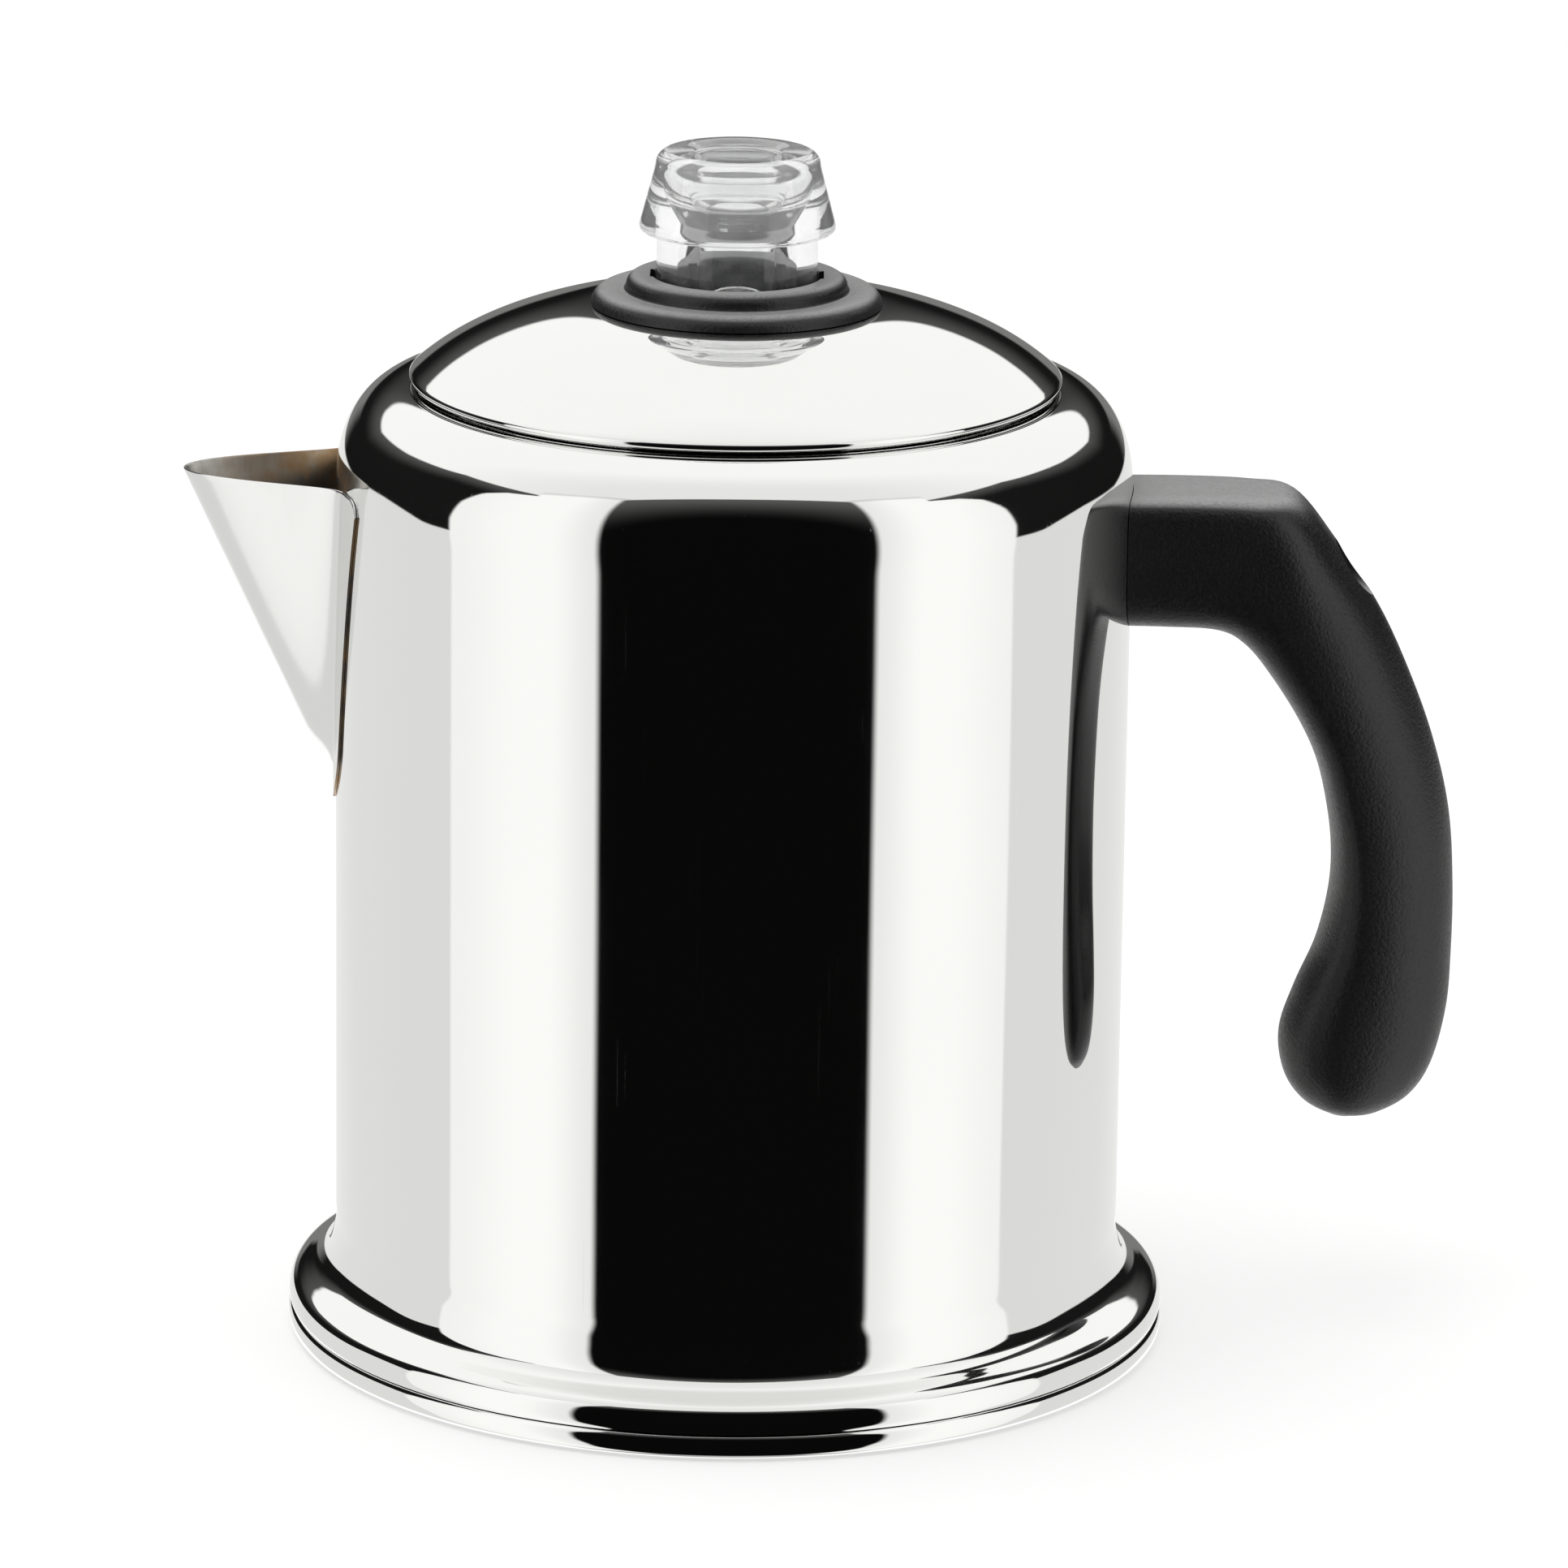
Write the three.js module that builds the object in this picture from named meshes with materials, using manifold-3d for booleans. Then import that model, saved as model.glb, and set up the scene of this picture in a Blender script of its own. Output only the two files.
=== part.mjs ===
// Stovetop coffee percolator: a polished stainless pot with a welded pouring spout and a
// screwed-on black handle, a domed lift-off lid with a black collar and a clear twist-in
// knob, and inside it the pump stem that carries the perforated coffee basket.
//
// Units are millimetres, +Z is up, the origin is the centre of the flat base, the handle
// points along +X and the spout along -X.

import * as THREE from 'three';
import { mergeVertices } from 'three/addons/utils/BufferGeometryUtils.js';
import Module from 'manifold-3d';

const wasm = await Module();
wasm.setup();

// ---------------------------------------------------------------- driving dimensions

const TURNS = 40;                 // facets round the pot and its lid
const MIDDLE_TURNS = 32;          // facets round the basket, collar and knob
const SMALL_TURNS = 16;           // facets round the small turned pieces
const GAP = 0.3;                  // clearance left between pieces that touch

const SHEET = 0.8;                // thickness of the drawn stainless sheet
const BODY_R = 71;                // outside radius of the pot
const FOOT_TOP_Z = 19;            // where the flared foot meets the straight wall
const SHOULDER_Z = 155.8;         // where the straight wall starts to turn in
const SHOULDER_TOP_Z = 174.5;     // top of the shoulder, under the rim of the lid
const SHOULDER_R = 57.5;          // radius at the top of the shoulder
const SHOULDER_POWER = 2.3;       // superellipse exponent of the shoulder
const NECK_R = 56.2;              // inside radius of the turned-down neck
const NECK_BOTTOM_Z = 168.5;

const PAN_FLOOR = 1.2;            // thickness of the base pan

const LIP_Z = 158;                // level lip of the spout
const SPOUT_BOTTOM_Z = 98;        // lowest point of the spout's welded edge
const SPOUT_REACH_AT_LIP = 26;    // how far the spout's nose stands out at the lip
const SPOUT_SLOPE = 0.473;        // how fast the nose runs back towards the body
const SPOUT_EDGE_TOP = 28.6;      // half the width of the welded edge at the lip
const SPOUT_EDGE_SLOPE = 0.25;    // how fast the welded edge narrows downwards
const SPOUT_FLARE_SHARE = 0.7;    // share of that width taken by the pouring channel
const SPOUT_SHEET = 1.0;

const HANDLE_Z = 142.5;           // height of the handle's screw and its bracket
const NECK_HALF_DEPTH = 13;       // half the handle's depth, front to back
const SCREW_R = 2.4;
const BRACKET_HALF_HEIGHT = 6.5;
const BRACKET_END_X = 89;         // outer face of the bracket's end wall
const SEAT_X = 103;               // seat of the screw's washer in the handle

const DOME_FLAT_R = 24;           // flat centre of the lid
const DOME_Z = 189;               // top of that flat
const DOME_RADIUS = 52;           // radius of the dome outside the flat
const LID_RIM_R = 57.6;
const LID_HOLE_R = 18.6;
const LID_SHEET = 0.7;
const SKIRT_R = 55.6;             // outside radius of the skirt inside the neck
const SKIRT_BOTTOM_Z = 164.5;

const KNOB_NECK_R = 14.3;         // standard twist-in percolator knob, 1 1/8 inch neck
const KNOB_BORE_R = 7;             // bore of the knob's neck, under its wider hollow
const KNOB_BOTTOM_Z = 185.6;
const KNOB_TOP_Z = 216.6;
const LUG_R = 15.5;               // reach of the knob's two locking lugs
const LUG_HALF_ANGLE = 11;        // degrees
const LUG_REST_ANGLE = -60;       // degrees, where a locked lug sits from +X

const STEM_R = 4.5;               // outside radius of the pump tube
const STEM_TOP_Z = 191.5;
const STEM_BOTTOM_Z = 14.5;
const BASKET_R = 50;
const BASKET_FLOOR_Z = 112;
const BASKET_RIM_Z = 158;

// ---------------------------------------------------------------- materials

function finish(color, roughness, metalness, extra = {}) {
  return new THREE.MeshStandardMaterial({ color, roughness, metalness, ...extra });
}

const polishedSteel = () => finish(0xd9dadb, 0.06, 1);
const satinSteel = () => finish(0xb9babb, 0.3, 1);
const blackPlastic = () => finish(0x1b1b1d, 0.5, 0);
const clearPlastic = () => finish(0xeef2f2, 0.04, 0, { transparent: true, opacity: 0.4 });

// ---------------------------------------------------------------- solid helpers

// Turns a closed geometry into a solid with its faces pointing out.
function solid(geometry) {
  const bare = geometry.clone();
  bare.deleteAttribute('normal');
  bare.deleteAttribute('uv');
  const merged = mergeVertices(bare, 1e-4);
  const position = merged.attributes.position;
  const triangles = [];
  let volume = 0;
  const a = new THREE.Vector3();
  const b = new THREE.Vector3();
  const c = new THREE.Vector3();
  for (let i = 0; i < merged.index.count; i += 3) {
    const corner = [0, 1, 2].map((k) => merged.index.getX(i + k));
    if (corner[0] === corner[1] || corner[1] === corner[2] || corner[2] === corner[0]) continue;
    triangles.push(...corner);
    a.fromBufferAttribute(position, corner[0]);
    b.fromBufferAttribute(position, corner[1]);
    c.fromBufferAttribute(position, corner[2]);
    volume += a.dot(b.cross(c));
  }
  if (volume < 0) triangles.reverse();
  return new wasm.Manifold(new wasm.Mesh({
    numProp: 3,
    vertProperties: new Float32Array(position.array),
    triVerts: new Uint32Array(triangles),
  }));
}

// Makes the named mesh of one piece from its solid.
function piece(name, shape, material) {
  const result = shape.getMesh();
  const geometry = new THREE.BufferGeometry();
  geometry.setAttribute('position', new THREE.BufferAttribute(result.vertProperties, 3));
  geometry.setIndex(new THREE.BufferAttribute(result.triVerts, 1));
  geometry.computeVertexNormals();
  const mesh = new THREE.Mesh(geometry, material);
  mesh.name = name;
  return mesh;
}

// Turns a profile of [radius, height] points about the Z axis.
function turned(points, turns = TURNS) {
  const profile = points.map(([r, z]) => new THREE.Vector2(r, z));
  const first = profile[0];
  const last = profile[profile.length - 1];
  if (first.x > 0 || last.x > 0) profile.push(first.clone());
  return solid(new THREE.LatheGeometry(profile, turns).rotateX(Math.PI / 2));
}

// Gives a sheet its thickness: the outer skin out, the inner skin back.
function sheet(skin, thickness) {
  const inner = skin.map((point, i) => {
    const before = skin[Math.max(i - 1, 0)];
    const after = skin[Math.min(i + 1, skin.length - 1)];
    const along = new THREE.Vector2(after[0] - before[0], after[1] - before[1]).normalize();
    return [point[0] - along.y * thickness, point[1] + along.x * thickness];
  });
  return [...skin, ...inner.reverse()];
}

// Points on a circular arc in the [radius, height] plane, angles in degrees.
function arc(centreR, centreZ, radius, from, to, steps) {
  return Array.from({ length: steps + 1 }, (_, i) => {
    const angle = THREE.MathUtils.degToRad(from + ((to - from) * i) / steps);
    return [centreR + radius * Math.cos(angle), centreZ + radius * Math.sin(angle)];
  });
}

// An upright prism of an outline drawn in the XY plane.
function prism(shape, z0, z1, curveSegments = 8) {
  const geometry = new THREE.ExtrudeGeometry(shape, {
    depth: z1 - z0, bevelEnabled: false, curveSegments,
  });
  return solid(geometry.translate(0, 0, z0));
}

// A prism along X of an outline drawn as (Y, Z).
function prismAlongX(shape, x0, x1, curveSegments = 8) {
  const geometry = new THREE.ExtrudeGeometry(shape, {
    depth: x1 - x0, bevelEnabled: false, curveSegments,
  });
  const toX = new THREE.Matrix4().set(0, 0, 1, x0, 1, 0, 0, 0, 0, 1, 0, 0, 0, 0, 0, 1);
  return solid(geometry.applyMatrix4(toX));
}

// A round rod along X at height z.
function rodAlongX(radius, x0, x1, z, turns = SMALL_TURNS) {
  const geometry = new THREE.CylinderGeometry(radius, radius, x1 - x0, turns);
  return solid(geometry.rotateZ(Math.PI / 2).translate((x0 + x1) / 2, 0, z));
}

// An upright round rod.
function rod(radius, x, y, z0, z1, turns) {
  const geometry = new THREE.CylinderGeometry(radius, radius, z1 - z0, turns);
  return solid(geometry.rotateX(Math.PI / 2).translate(x, y, (z0 + z1) / 2));
}

function rectangle(x0, y0, x1, y1) {
  const shape = new THREE.Shape();
  shape.moveTo(x0, y0);
  shape.lineTo(x1, y0);
  shape.lineTo(x1, y1);
  shape.lineTo(x0, y1);
  return shape;
}

function box(x0, y0, z0, x1, y1, z1) {
  return prism(rectangle(x0, y0, x1, y1), z0, z1);
}

function cutAll(shape, tools) {
  return tools.reduce((left, tool) => left.subtract(tool), shape);
}

// Closes a grid of points, wrapped round in its second direction, into a solid with
// fans over its two ends.
function loft(rings) {
  const count = rings[0].length;
  const points = rings.flat();
  const start = points.push(centreOf(rings[0])) - 1;
  const end = points.push(centreOf(rings[rings.length - 1])) - 1;
  const index = [];
  for (let j = 0; j < count; j += 1) {
    const next = (j + 1) % count;
    for (let i = 0; i + 1 < rings.length; i += 1) {
      const a = i * count + j;
      const b = i * count + next;
      index.push(a, b, b + count, a, b + count, a + count);
    }
    const last = (rings.length - 1) * count;
    index.push(start, next, j, end, last + j, last + next);
  }
  const geometry = new THREE.BufferGeometry().setFromPoints(points);
  geometry.setIndex(index);
  return solid(geometry);
}

function centreOf(ring) {
  const sum = ring.reduce((total, point) => total.add(point), new THREE.Vector3());
  return sum.divideScalar(ring.length);
}

// ---------------------------------------------------------------- pot

const FOOT_SKIN = [
  [76.5, 4.7], [79.2, 4.7], [79.5, 6.4], [78.7, 8.9], [76.8, 10.1], [73.6, 11.8],
  [72, 14.5], [BODY_R, FOOT_TOP_Z],
];

function shoulderSkin() {
  const steps = 7;
  return Array.from({ length: steps }, (_, i) => {
    const angle = (Math.PI / 2) * (i / steps);
    const across = Math.cos(angle) ** (2 / SHOULDER_POWER);
    const up = Math.sin(angle) ** (2 / SHOULDER_POWER);
    return [
      SHOULDER_R + (BODY_R - SHOULDER_R) * across,
      SHOULDER_Z + (SHOULDER_TOP_Z - SHOULDER_Z) * up,
    ];
  });
}

function spoutOpening() {
  const shape = new THREE.Shape();
  shape.moveTo(-17, LIP_Z - 1.5);
  shape.lineTo(-7, 116);
  shape.quadraticCurveTo(0, 110, 7, 116);
  shape.lineTo(17, LIP_Z - 1.5);
  return prismAlongX(shape, -BODY_R - 5, -BODY_R + 20);
}

function bodyShell() {
  const skin = [
    ...FOOT_SKIN,
    ...shoulderSkin(),
    [SHOULDER_R, SHOULDER_TOP_Z],
    [NECK_R, SHOULDER_TOP_Z - 1.2],
    [NECK_R, NECK_BOTTOM_Z],
  ];
  return turned(sheet(skin, SHEET)).subtract(spoutOpening());
}

function basePan() {
  return turned([
    [0, 0], [75.6, 0], [78.4, 1.4], [79.7, 3.4], [79.0, 4.4], [76.5, 4.2],
    [73, PAN_FLOOR], [0, PAN_FLOOR],
  ]);
}

// How far the pouring channel stands out of the welded edge, at a height and at an arc
// length measured round the body from the nose.
function spoutReach(across, z) {
  const nose = noseReach(z);
  const half = SPOUT_FLARE_SHARE * edgeHalfWidth(z);
  return Math.abs(across) < half ? nose * Math.cos((Math.PI * across) / (2 * half)) ** 2 : 0;
}

function noseReach(z) {
  const blend = 2;
  const below = SPOUT_REACH_AT_LIP / SPOUT_SLOPE;
  const rise = z - (LIP_Z - below);
  if (rise > blend) return rise * SPOUT_SLOPE;
  if (rise < -blend) return 0;
  return ((rise + blend) ** 2 * SPOUT_SLOPE) / (4 * blend);
}

function edgeHalfWidth(z) {
  const straight = SPOUT_EDGE_TOP - (LIP_Z - z) * SPOUT_EDGE_SLOPE;
  const roundHeight = 12;
  const below = (SPOUT_BOTTOM_Z + roundHeight - z) / roundHeight;
  return below > 0 ? straight * Math.sqrt(1 - Math.min(below, 0.985) ** 2) : straight;
}

function spout() {
  const columns = 16;
  const heights = [98, 99, 101, 104, 107, 111, 118, 128, 143, LIP_Z];
  const rings = heights.map((z) => {
    const half = edgeHalfWidth(z);
    const skin = (inset) => Array.from({ length: columns + 1 }, (_, i) => {
      const across = half * ((2 * i) / columns - 1);
      const angle = across / BODY_R;
      const radius = BODY_R + GAP + SPOUT_SHEET - inset + spoutReach(across, z);
      return new THREE.Vector3(-radius * Math.cos(angle), radius * Math.sin(angle), z);
    });
    return [skin(0), skin(SPOUT_SHEET)];
  });
  return thickened(rings);
}

// Closes two matching skins, given as rows of [outer points, inner points], into a sheet.
function thickened(rows) {
  const width = rows[0][0].length;
  const points = rows.flatMap(([outer, inner]) => [...outer, ...inner.slice().reverse()]);
  const round = 2 * width;
  const index = [];
  for (let i = 0; i + 1 < rows.length; i += 1) {
    for (let j = 0; j < round; j += 1) {
      const a = i * round + j;
      const b = i * round + ((j + 1) % round);
      index.push(a, b, b + round, a, b + round, a + round);
    }
  }
  const last = (rows.length - 1) * round;
  for (let j = 0; j + 1 < width; j += 1) {
    const back = round - 1 - j;
    index.push(j, back, j + 1, back, back - 1, j + 1);
    index.push(last + j, last + j + 1, last + back, last + back, last + j + 1, last + back - 1);
  }
  const geometry = new THREE.BufferGeometry().setFromPoints(points);
  geometry.setIndex(index);
  return solid(geometry);
}

// ---------------------------------------------------------------- handle

// Outer and inner edges of the handle in the XZ plane, paired station by station, with the
// half depth at each station.
const HANDLE_STATIONS = [
  { outer: [67, 156.7], inner: [67, 132.2], depth: NECK_HALF_DEPTH },
  { outer: [80, 156.8], inner: [77, 132.1], depth: NECK_HALF_DEPTH },
  { outer: [92, 156.7], inner: [86.5, 131.6], depth: NECK_HALF_DEPTH },
  { outer: [99.6, 154.8], inner: [91.5, 128.9], depth: NECK_HALF_DEPTH },
  { outer: [107, 146.9], inner: [96, 123.5], depth: NECK_HALF_DEPTH },
  { outer: [115.2, 135.4], inner: [101.2, 115.5], depth: 12.8 },
  { outer: [121.2, 123.4], inner: [104.9, 107.6], depth: 12.6 },
  { outer: [125.9, 111], inner: [107.2, 98.5], depth: 12.5 },
  { outer: [129.2, 98], inner: [108.3, 90], depth: 12.5 },
  { outer: [130.4, 84], inner: [108.0, 82], depth: 12.6 },
  { outer: [130.5, 71], inner: [105.9, 72.6], depth: 12.8 },
  { outer: [129.9, 61], inner: [102.3, 64], depth: 13 },
  { outer: [127.6, 51], inner: [99.8, 56], depth: 12.8 },
  { outer: [124, 45], inner: [100.6, 49], depth: 11.5 },
  { outer: [118.8, 41.8], inner: [103.6, 44.2], depth: 8.8 },
  { outer: [114.5, 40.8], inner: [108.2, 41.4], depth: 4.5 },
];

// The handle's section at shares of its length: where across it the handle is deepest,
// from the inner edge, and the superellipse exponents outside and inside of that.
const HANDLE_SECTIONS = [
  { at: 0, widest: 0.5, outerPower: 6.5, innerPower: 3.2 },
  { at: 0.13, widest: 0.5, outerPower: 6.5, innerPower: 3.2 },
  { at: 0.27, widest: 0.3, outerPower: 1.6, innerPower: 2.8 },
  { at: 0.5, widest: 0.25, outerPower: 1.65, innerPower: 2.5 },
  { at: 0.75, widest: 0.4, outerPower: 1.9, innerPower: 2.2 },
  { at: 1, widest: 0.48, outerPower: 2.1, innerPower: 2.1 },
];

// One quantity of the section at a share of the handle's length.
function sectionAt(share, key) {
  const after = Math.max(1, HANDLE_SECTIONS.findIndex((section) => section.at >= share));
  const [from, to] = [HANDLE_SECTIONS[after - 1], HANDLE_SECTIONS[after]];
  const blend = THREE.MathUtils.smoothstep(share, from.at, to.at);
  return THREE.MathUtils.lerp(from[key], to[key], blend);
}

function signedPower(value, power) {
  return Math.sign(value) * Math.abs(value) ** power;
}

function handleBlank() {
  const edge = (side) => new THREE.SplineCurve(
    HANDLE_STATIONS.map((station) => new THREE.Vector2(...station[side])),
  );
  const depth = new THREE.SplineCurve(
    HANDLE_STATIONS.map((station, i) => new THREE.Vector2(i, station.depth)),
  );
  const outer = edge('outer');
  const inner = edge('inner');
  const rings = 24;
  const round = 16;
  return loft(Array.from({ length: rings + 1 }, (_, i) => {
    const share = i / rings;
    const far = outer.getPoint(share);
    const near = inner.getPoint(share);
    const half = depth.getPoint(share).y;
    const widest = sectionAt(share, 'widest');
    return Array.from({ length: round }, (_unused, j) => {
      const angle = (2 * Math.PI * j) / round;
      const outside = Math.cos(angle) > 0;
      const power = 2 / sectionAt(share, outside ? 'outerPower' : 'innerPower');
      const reach = outside ? 1 - widest : widest;
      const out = widest + reach * signedPower(Math.cos(angle), power);
      const side = signedPower(Math.sin(angle), power);
      return new THREE.Vector3(
        near.x + (far.x - near.x) * out, half * side, near.y + (far.y - near.y) * out,
      );
    });
  }));
}

function handleGrip() {
  const bodyClearance = rod(BODY_R + GAP, 0, 0, 100, 180, 2 * TURNS);
  const above = BRACKET_HALF_HEIGHT + 1;
  const pocket = box(60, -9.5, HANDLE_Z - above, BRACKET_END_X + 1, 9.5, HANDLE_Z + above);
  const screwHole = rodAlongX(SCREW_R + 0.5, 80, 110, HANDLE_Z);
  const headRecess = rodAlongX(5, SEAT_X, 125, HANDLE_Z);
  return cutAll(handleBlank(), [bodyClearance, pocket, screwHole, headRecess]);
}

// A steel strap bent into a closed box and welded to the pot; the screw pulls the handle
// against the nut inside it. Its local height is measured from the screw's axis.
function handleBracket() {
  const wall = 1.5;
  const half = BRACKET_HALF_HEIGHT;
  const width = 6.5;
  const outline = rectangle(BODY_R - 1, -half, BRACKET_END_X, half);
  outline.holes.push(rectangle(
    BODY_R + GAP + wall, -half + wall, BRACKET_END_X - wall, half - wall,
  ));
  const upright = new THREE.ExtrudeGeometry(outline, { depth: 2 * width, bevelEnabled: false });
  const strap = solid(upright.rotateX(Math.PI / 2).translate(0, width, 0));
  const pot = rod(BODY_R + GAP, 0, 0, -20, 20, 2 * TURNS);
  return cutAll(strap, [pot, rodAlongX(SCREW_R + 0.4, 80, 95, 0)]);
}

function hexagon(acrossFlats) {
  const shape = new THREE.Shape();
  const corner = acrossFlats / Math.sqrt(3);
  for (let i = 0; i < 6; i += 1) {
    const angle = (Math.PI / 3) * i;
    shape[i ? 'lineTo' : 'moveTo'](corner * Math.cos(angle), corner * Math.sin(angle));
  }
  return shape;
}

function handleNut() {
  const face = BRACKET_END_X - 1.5 - GAP;
  const nut = prismAlongX(hexagon(8), face - 4, face);
  return nut.subtract(rodAlongX(SCREW_R + GAP, face - 6, face + 2, 0));
}

function lockWasher() {
  const ring = rodAlongX(4.4, SEAT_X + GAP, SEAT_X + GAP + 1, 0);
  const split = box(SEAT_X, -0.4, 0, SEAT_X + 3, 0.4, 6);
  return cutAll(ring, [rodAlongX(SCREW_R + GAP, SEAT_X, SEAT_X + 3, 0), split]);
}

// Pan-head machine screw with a cross recess, driven from the back of the handle.
function handleScrew() {
  const under = SEAT_X + 2 * GAP + 1;
  const headRadius = 4.2;
  const profile = [
    [0, 81], [SCREW_R - 0.5, 81], [SCREW_R, 81.6], [SCREW_R, under], [headRadius, under],
    [headRadius, under + 1.4], [3.4, under + 2.3], [1.8, under + 2.7], [0, under + 2.8],
  ];
  const turnedUp = new THREE.LatheGeometry(
    profile.map(([r, x]) => new THREE.Vector2(r, x)), SMALL_TURNS,
  );
  const slot = box(under + 1.6, -2.4, -0.4, under + 4, 2.4, 0.4);
  const crossSlot = box(under + 1.6, -0.4, -2.4, under + 4, 0.4, 2.4);
  return cutAll(solid(turnedUp.rotateZ(-Math.PI / 2)), [slot, crossSlot]);
}

// ---------------------------------------------------------------- lid and knob

function domeArc(radius, rimR, steps) {
  const rimAngle = THREE.MathUtils.radToDeg(Math.acos((rimR - DOME_FLAT_R) / radius));
  return arc(DOME_FLAT_R, DOME_Z - DOME_RADIUS, radius, 90, rimAngle, steps);
}

function lidShell() {
  const outside = domeArc(DOME_RADIUS, LID_RIM_R, 6);
  const inside = domeArc(DOME_RADIUS - LID_SHEET, SKIRT_R, 4).reverse();
  return turned([
    [LID_HOLE_R, DOME_Z],
    ...outside,
    [LID_RIM_R + 0.4, 175.9], [LID_RIM_R - 0.4, 174.9], [SKIRT_R, 174.9],
    [SKIRT_R, SKIRT_BOTTOM_Z],
    [SKIRT_R - LID_SHEET, SKIRT_BOTTOM_Z], [SKIRT_R - LID_SHEET, 175.6],
    ...inside,
    [LID_HOLE_R, DOME_Z - LID_SHEET],
  ]);
}

// Two-step black collar: it sits on the lid, its sleeve passes through the lid, and its
// bore has two notches that let the knob's lugs drop in before they turn.
function knobCollar() {
  const seat = DOME_Z + GAP;
  const sleeve = LID_HOLE_R - 0.4;
  const bore = KNOB_NECK_R + 0.5;
  const ring = turned([
    [bore, 188], [17.3, 188], [17.3, 186], [sleeve, 186], [sleeve, seat],
    [25.8, seat], [25.7, 190], ...arc(23.2, 189.1, 2.7, 40, 85, 2),
    [20.3, 191.6], ...arc(17.6, 192.3, 2.05, -15, 90, 3), [bore, 194.1],
  ], MIDDLE_TURNS);
  const notch = box(-LUG_R - 0.4, -3.4, 187, LUG_R + 0.4, 3.4, 196);
  return ring.subtract(notch);
}

function collarRetainer() {
  const top = DOME_Z - LID_SHEET - GAP;
  return turned([
    [LID_HOLE_R - 0.1, top - 1], [22.5, top - 1], [22.5, top], [LID_HOLE_R - 0.1, top],
  ], MIDDLE_TURNS);
}

// Clear hollow knob: the coffee spurts up inside it and can be seen.
function knob() {
  const shell = turned([
    [KNOB_BORE_R, KNOB_BOTTOM_Z], [KNOB_NECK_R, KNOB_BOTTOM_Z], [KNOB_NECK_R, 202.3],
    [16.7, 202.3], [17.5, 203.2], [14.5, 214.2], [13.8, 215.9], [12.1, KNOB_TOP_Z],
    [0, KNOB_TOP_Z], [0, 213], [6, 213], [8.2, 212], [8.9, 209.8], [8.9, 207.6],
    [8.2, 205.4], [KNOB_BORE_R, 203.6],
  ], MIDDLE_TURNS);
  return [0, 180].reduce((whole, turn) => {
    const from = THREE.MathUtils.degToRad(LUG_REST_ANGLE + turn - LUG_HALF_ANGLE);
    const to = THREE.MathUtils.degToRad(LUG_REST_ANGLE + turn + LUG_HALF_ANGLE);
    const lug = new THREE.Shape();
    lug.absarc(0, 0, LUG_R, from, to, false);
    lug.absarc(0, 0, KNOB_NECK_R - 0.8, to, from, true);
    return whole.add(prism(lug, KNOB_BOTTOM_Z + 0.4, KNOB_BOTTOM_Z + 2));
  }, shell);
}

// ---------------------------------------------------------------- pump and basket

// Round holes in rings about the Z axis, as upright drills.
function ringsOfHoles(rings, holeR, z0, z1) {
  return rings.flatMap(({ radius, count }) => Array.from({ length: count }, (_, i) => {
    const angle = (2 * Math.PI * i) / count;
    return rod(holeR, radius * Math.cos(angle), radius * Math.sin(angle), z0, z1, 6);
  }));
}

function basketCup() {
  const skin = [
    [7, BASKET_FLOOR_Z], [47, BASKET_FLOOR_Z], [BASKET_R, BASKET_FLOOR_Z + 3],
    [BASKET_R, BASKET_RIM_Z - 0.7], [BASKET_R + 2.4, BASKET_RIM_Z - 0.6],
  ];
  const holes = ringsOfHoles([
    { radius: 18, count: 8 }, { radius: 34, count: 14 },
  ], 1.2, BASKET_FLOOR_Z - 2, BASKET_FLOOR_Z + 3);
  return cutAll(turned(sheet(skin, 0.6), MIDDLE_TURNS), holes);
}

// Swaged tube through the basket's floor, which slides on the pump tube.
function basketSleeve() {
  return turned([
    [STEM_R + 0.6, 110.8], [10, 110.8], [10, 111.6], [6.4, 111.6], [6.4, 151],
    [STEM_R + 0.6, 151],
  ], SMALL_TURNS);
}

function groundsSpreader() {
  const under = BASKET_RIM_Z + GAP;
  const skin = [
    [53, under], [46.8, under], [44.8, under - 2.4], [14, under - 2.4],
    [8, under + 1.4], [STEM_R + 1.4, under + 4.6],
  ];
  const holes = ringsOfHoles([
    { radius: 21, count: 8 }, { radius: 35, count: 12 },
  ], 1.2, under - 5, under + 3);
  return cutAll(turned(sheet(skin, -0.7), MIDDLE_TURNS), holes);
}

function stemTube() {
  return turned([
    [STEM_R - 0.8, STEM_BOTTOM_Z], [STEM_R, STEM_BOTTOM_Z], [STEM_R, STEM_TOP_Z - 0.5],
    [STEM_R - 0.3, STEM_TOP_Z], [STEM_R - 0.8, STEM_TOP_Z],
  ], SMALL_TURNS);
}

function basketStop() {
  return turned([
    [STEM_R + GAP, 107.5], [6, 107.5], [9.5, 109.3], [9.5, 110.4], [STEM_R + GAP, 110.4],
  ], SMALL_TURNS);
}

// Bell-shaped foot of the pump; the notches in its edge let the water in.
function stemFoot() {
  const skin = [
    [29, 1.6], [27.6, 5], [22, 8], [14, 10.6], [8, 12.8],
    [STEM_R + GAP + 0.8, 15], [STEM_R + GAP + 0.8, 23],
  ];
  const notches = [0, 60, 120].map((turn) => (
    box(-32, -2.2, 0.5, 32, 2.2, 3.4).rotate([0, 0, turn])
  ));
  return cutAll(turned(sheet(skin, 0.8), MIDDLE_TURNS), notches);
}

// Shallow cup under the bell's throat: it holds the loose valve disc over its hole.
function valveCage() {
  return turned([
    [3, 2.2], [9.5, 2.2], [9.5, 10.9], [8.7, 11.2], [8.7, 6.4], [6.2, 6.4], [6.2, 5.7],
    [8.7, 5.7], [8.7, 3], [3, 3],
  ], SMALL_TURNS);
}

function pumpValve() {
  return turned([[0, 3.3], [7.4, 3.3], [7.4, 3.9], [0, 3.9]], SMALL_TURNS);
}

// ---------------------------------------------------------------- assembly

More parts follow.
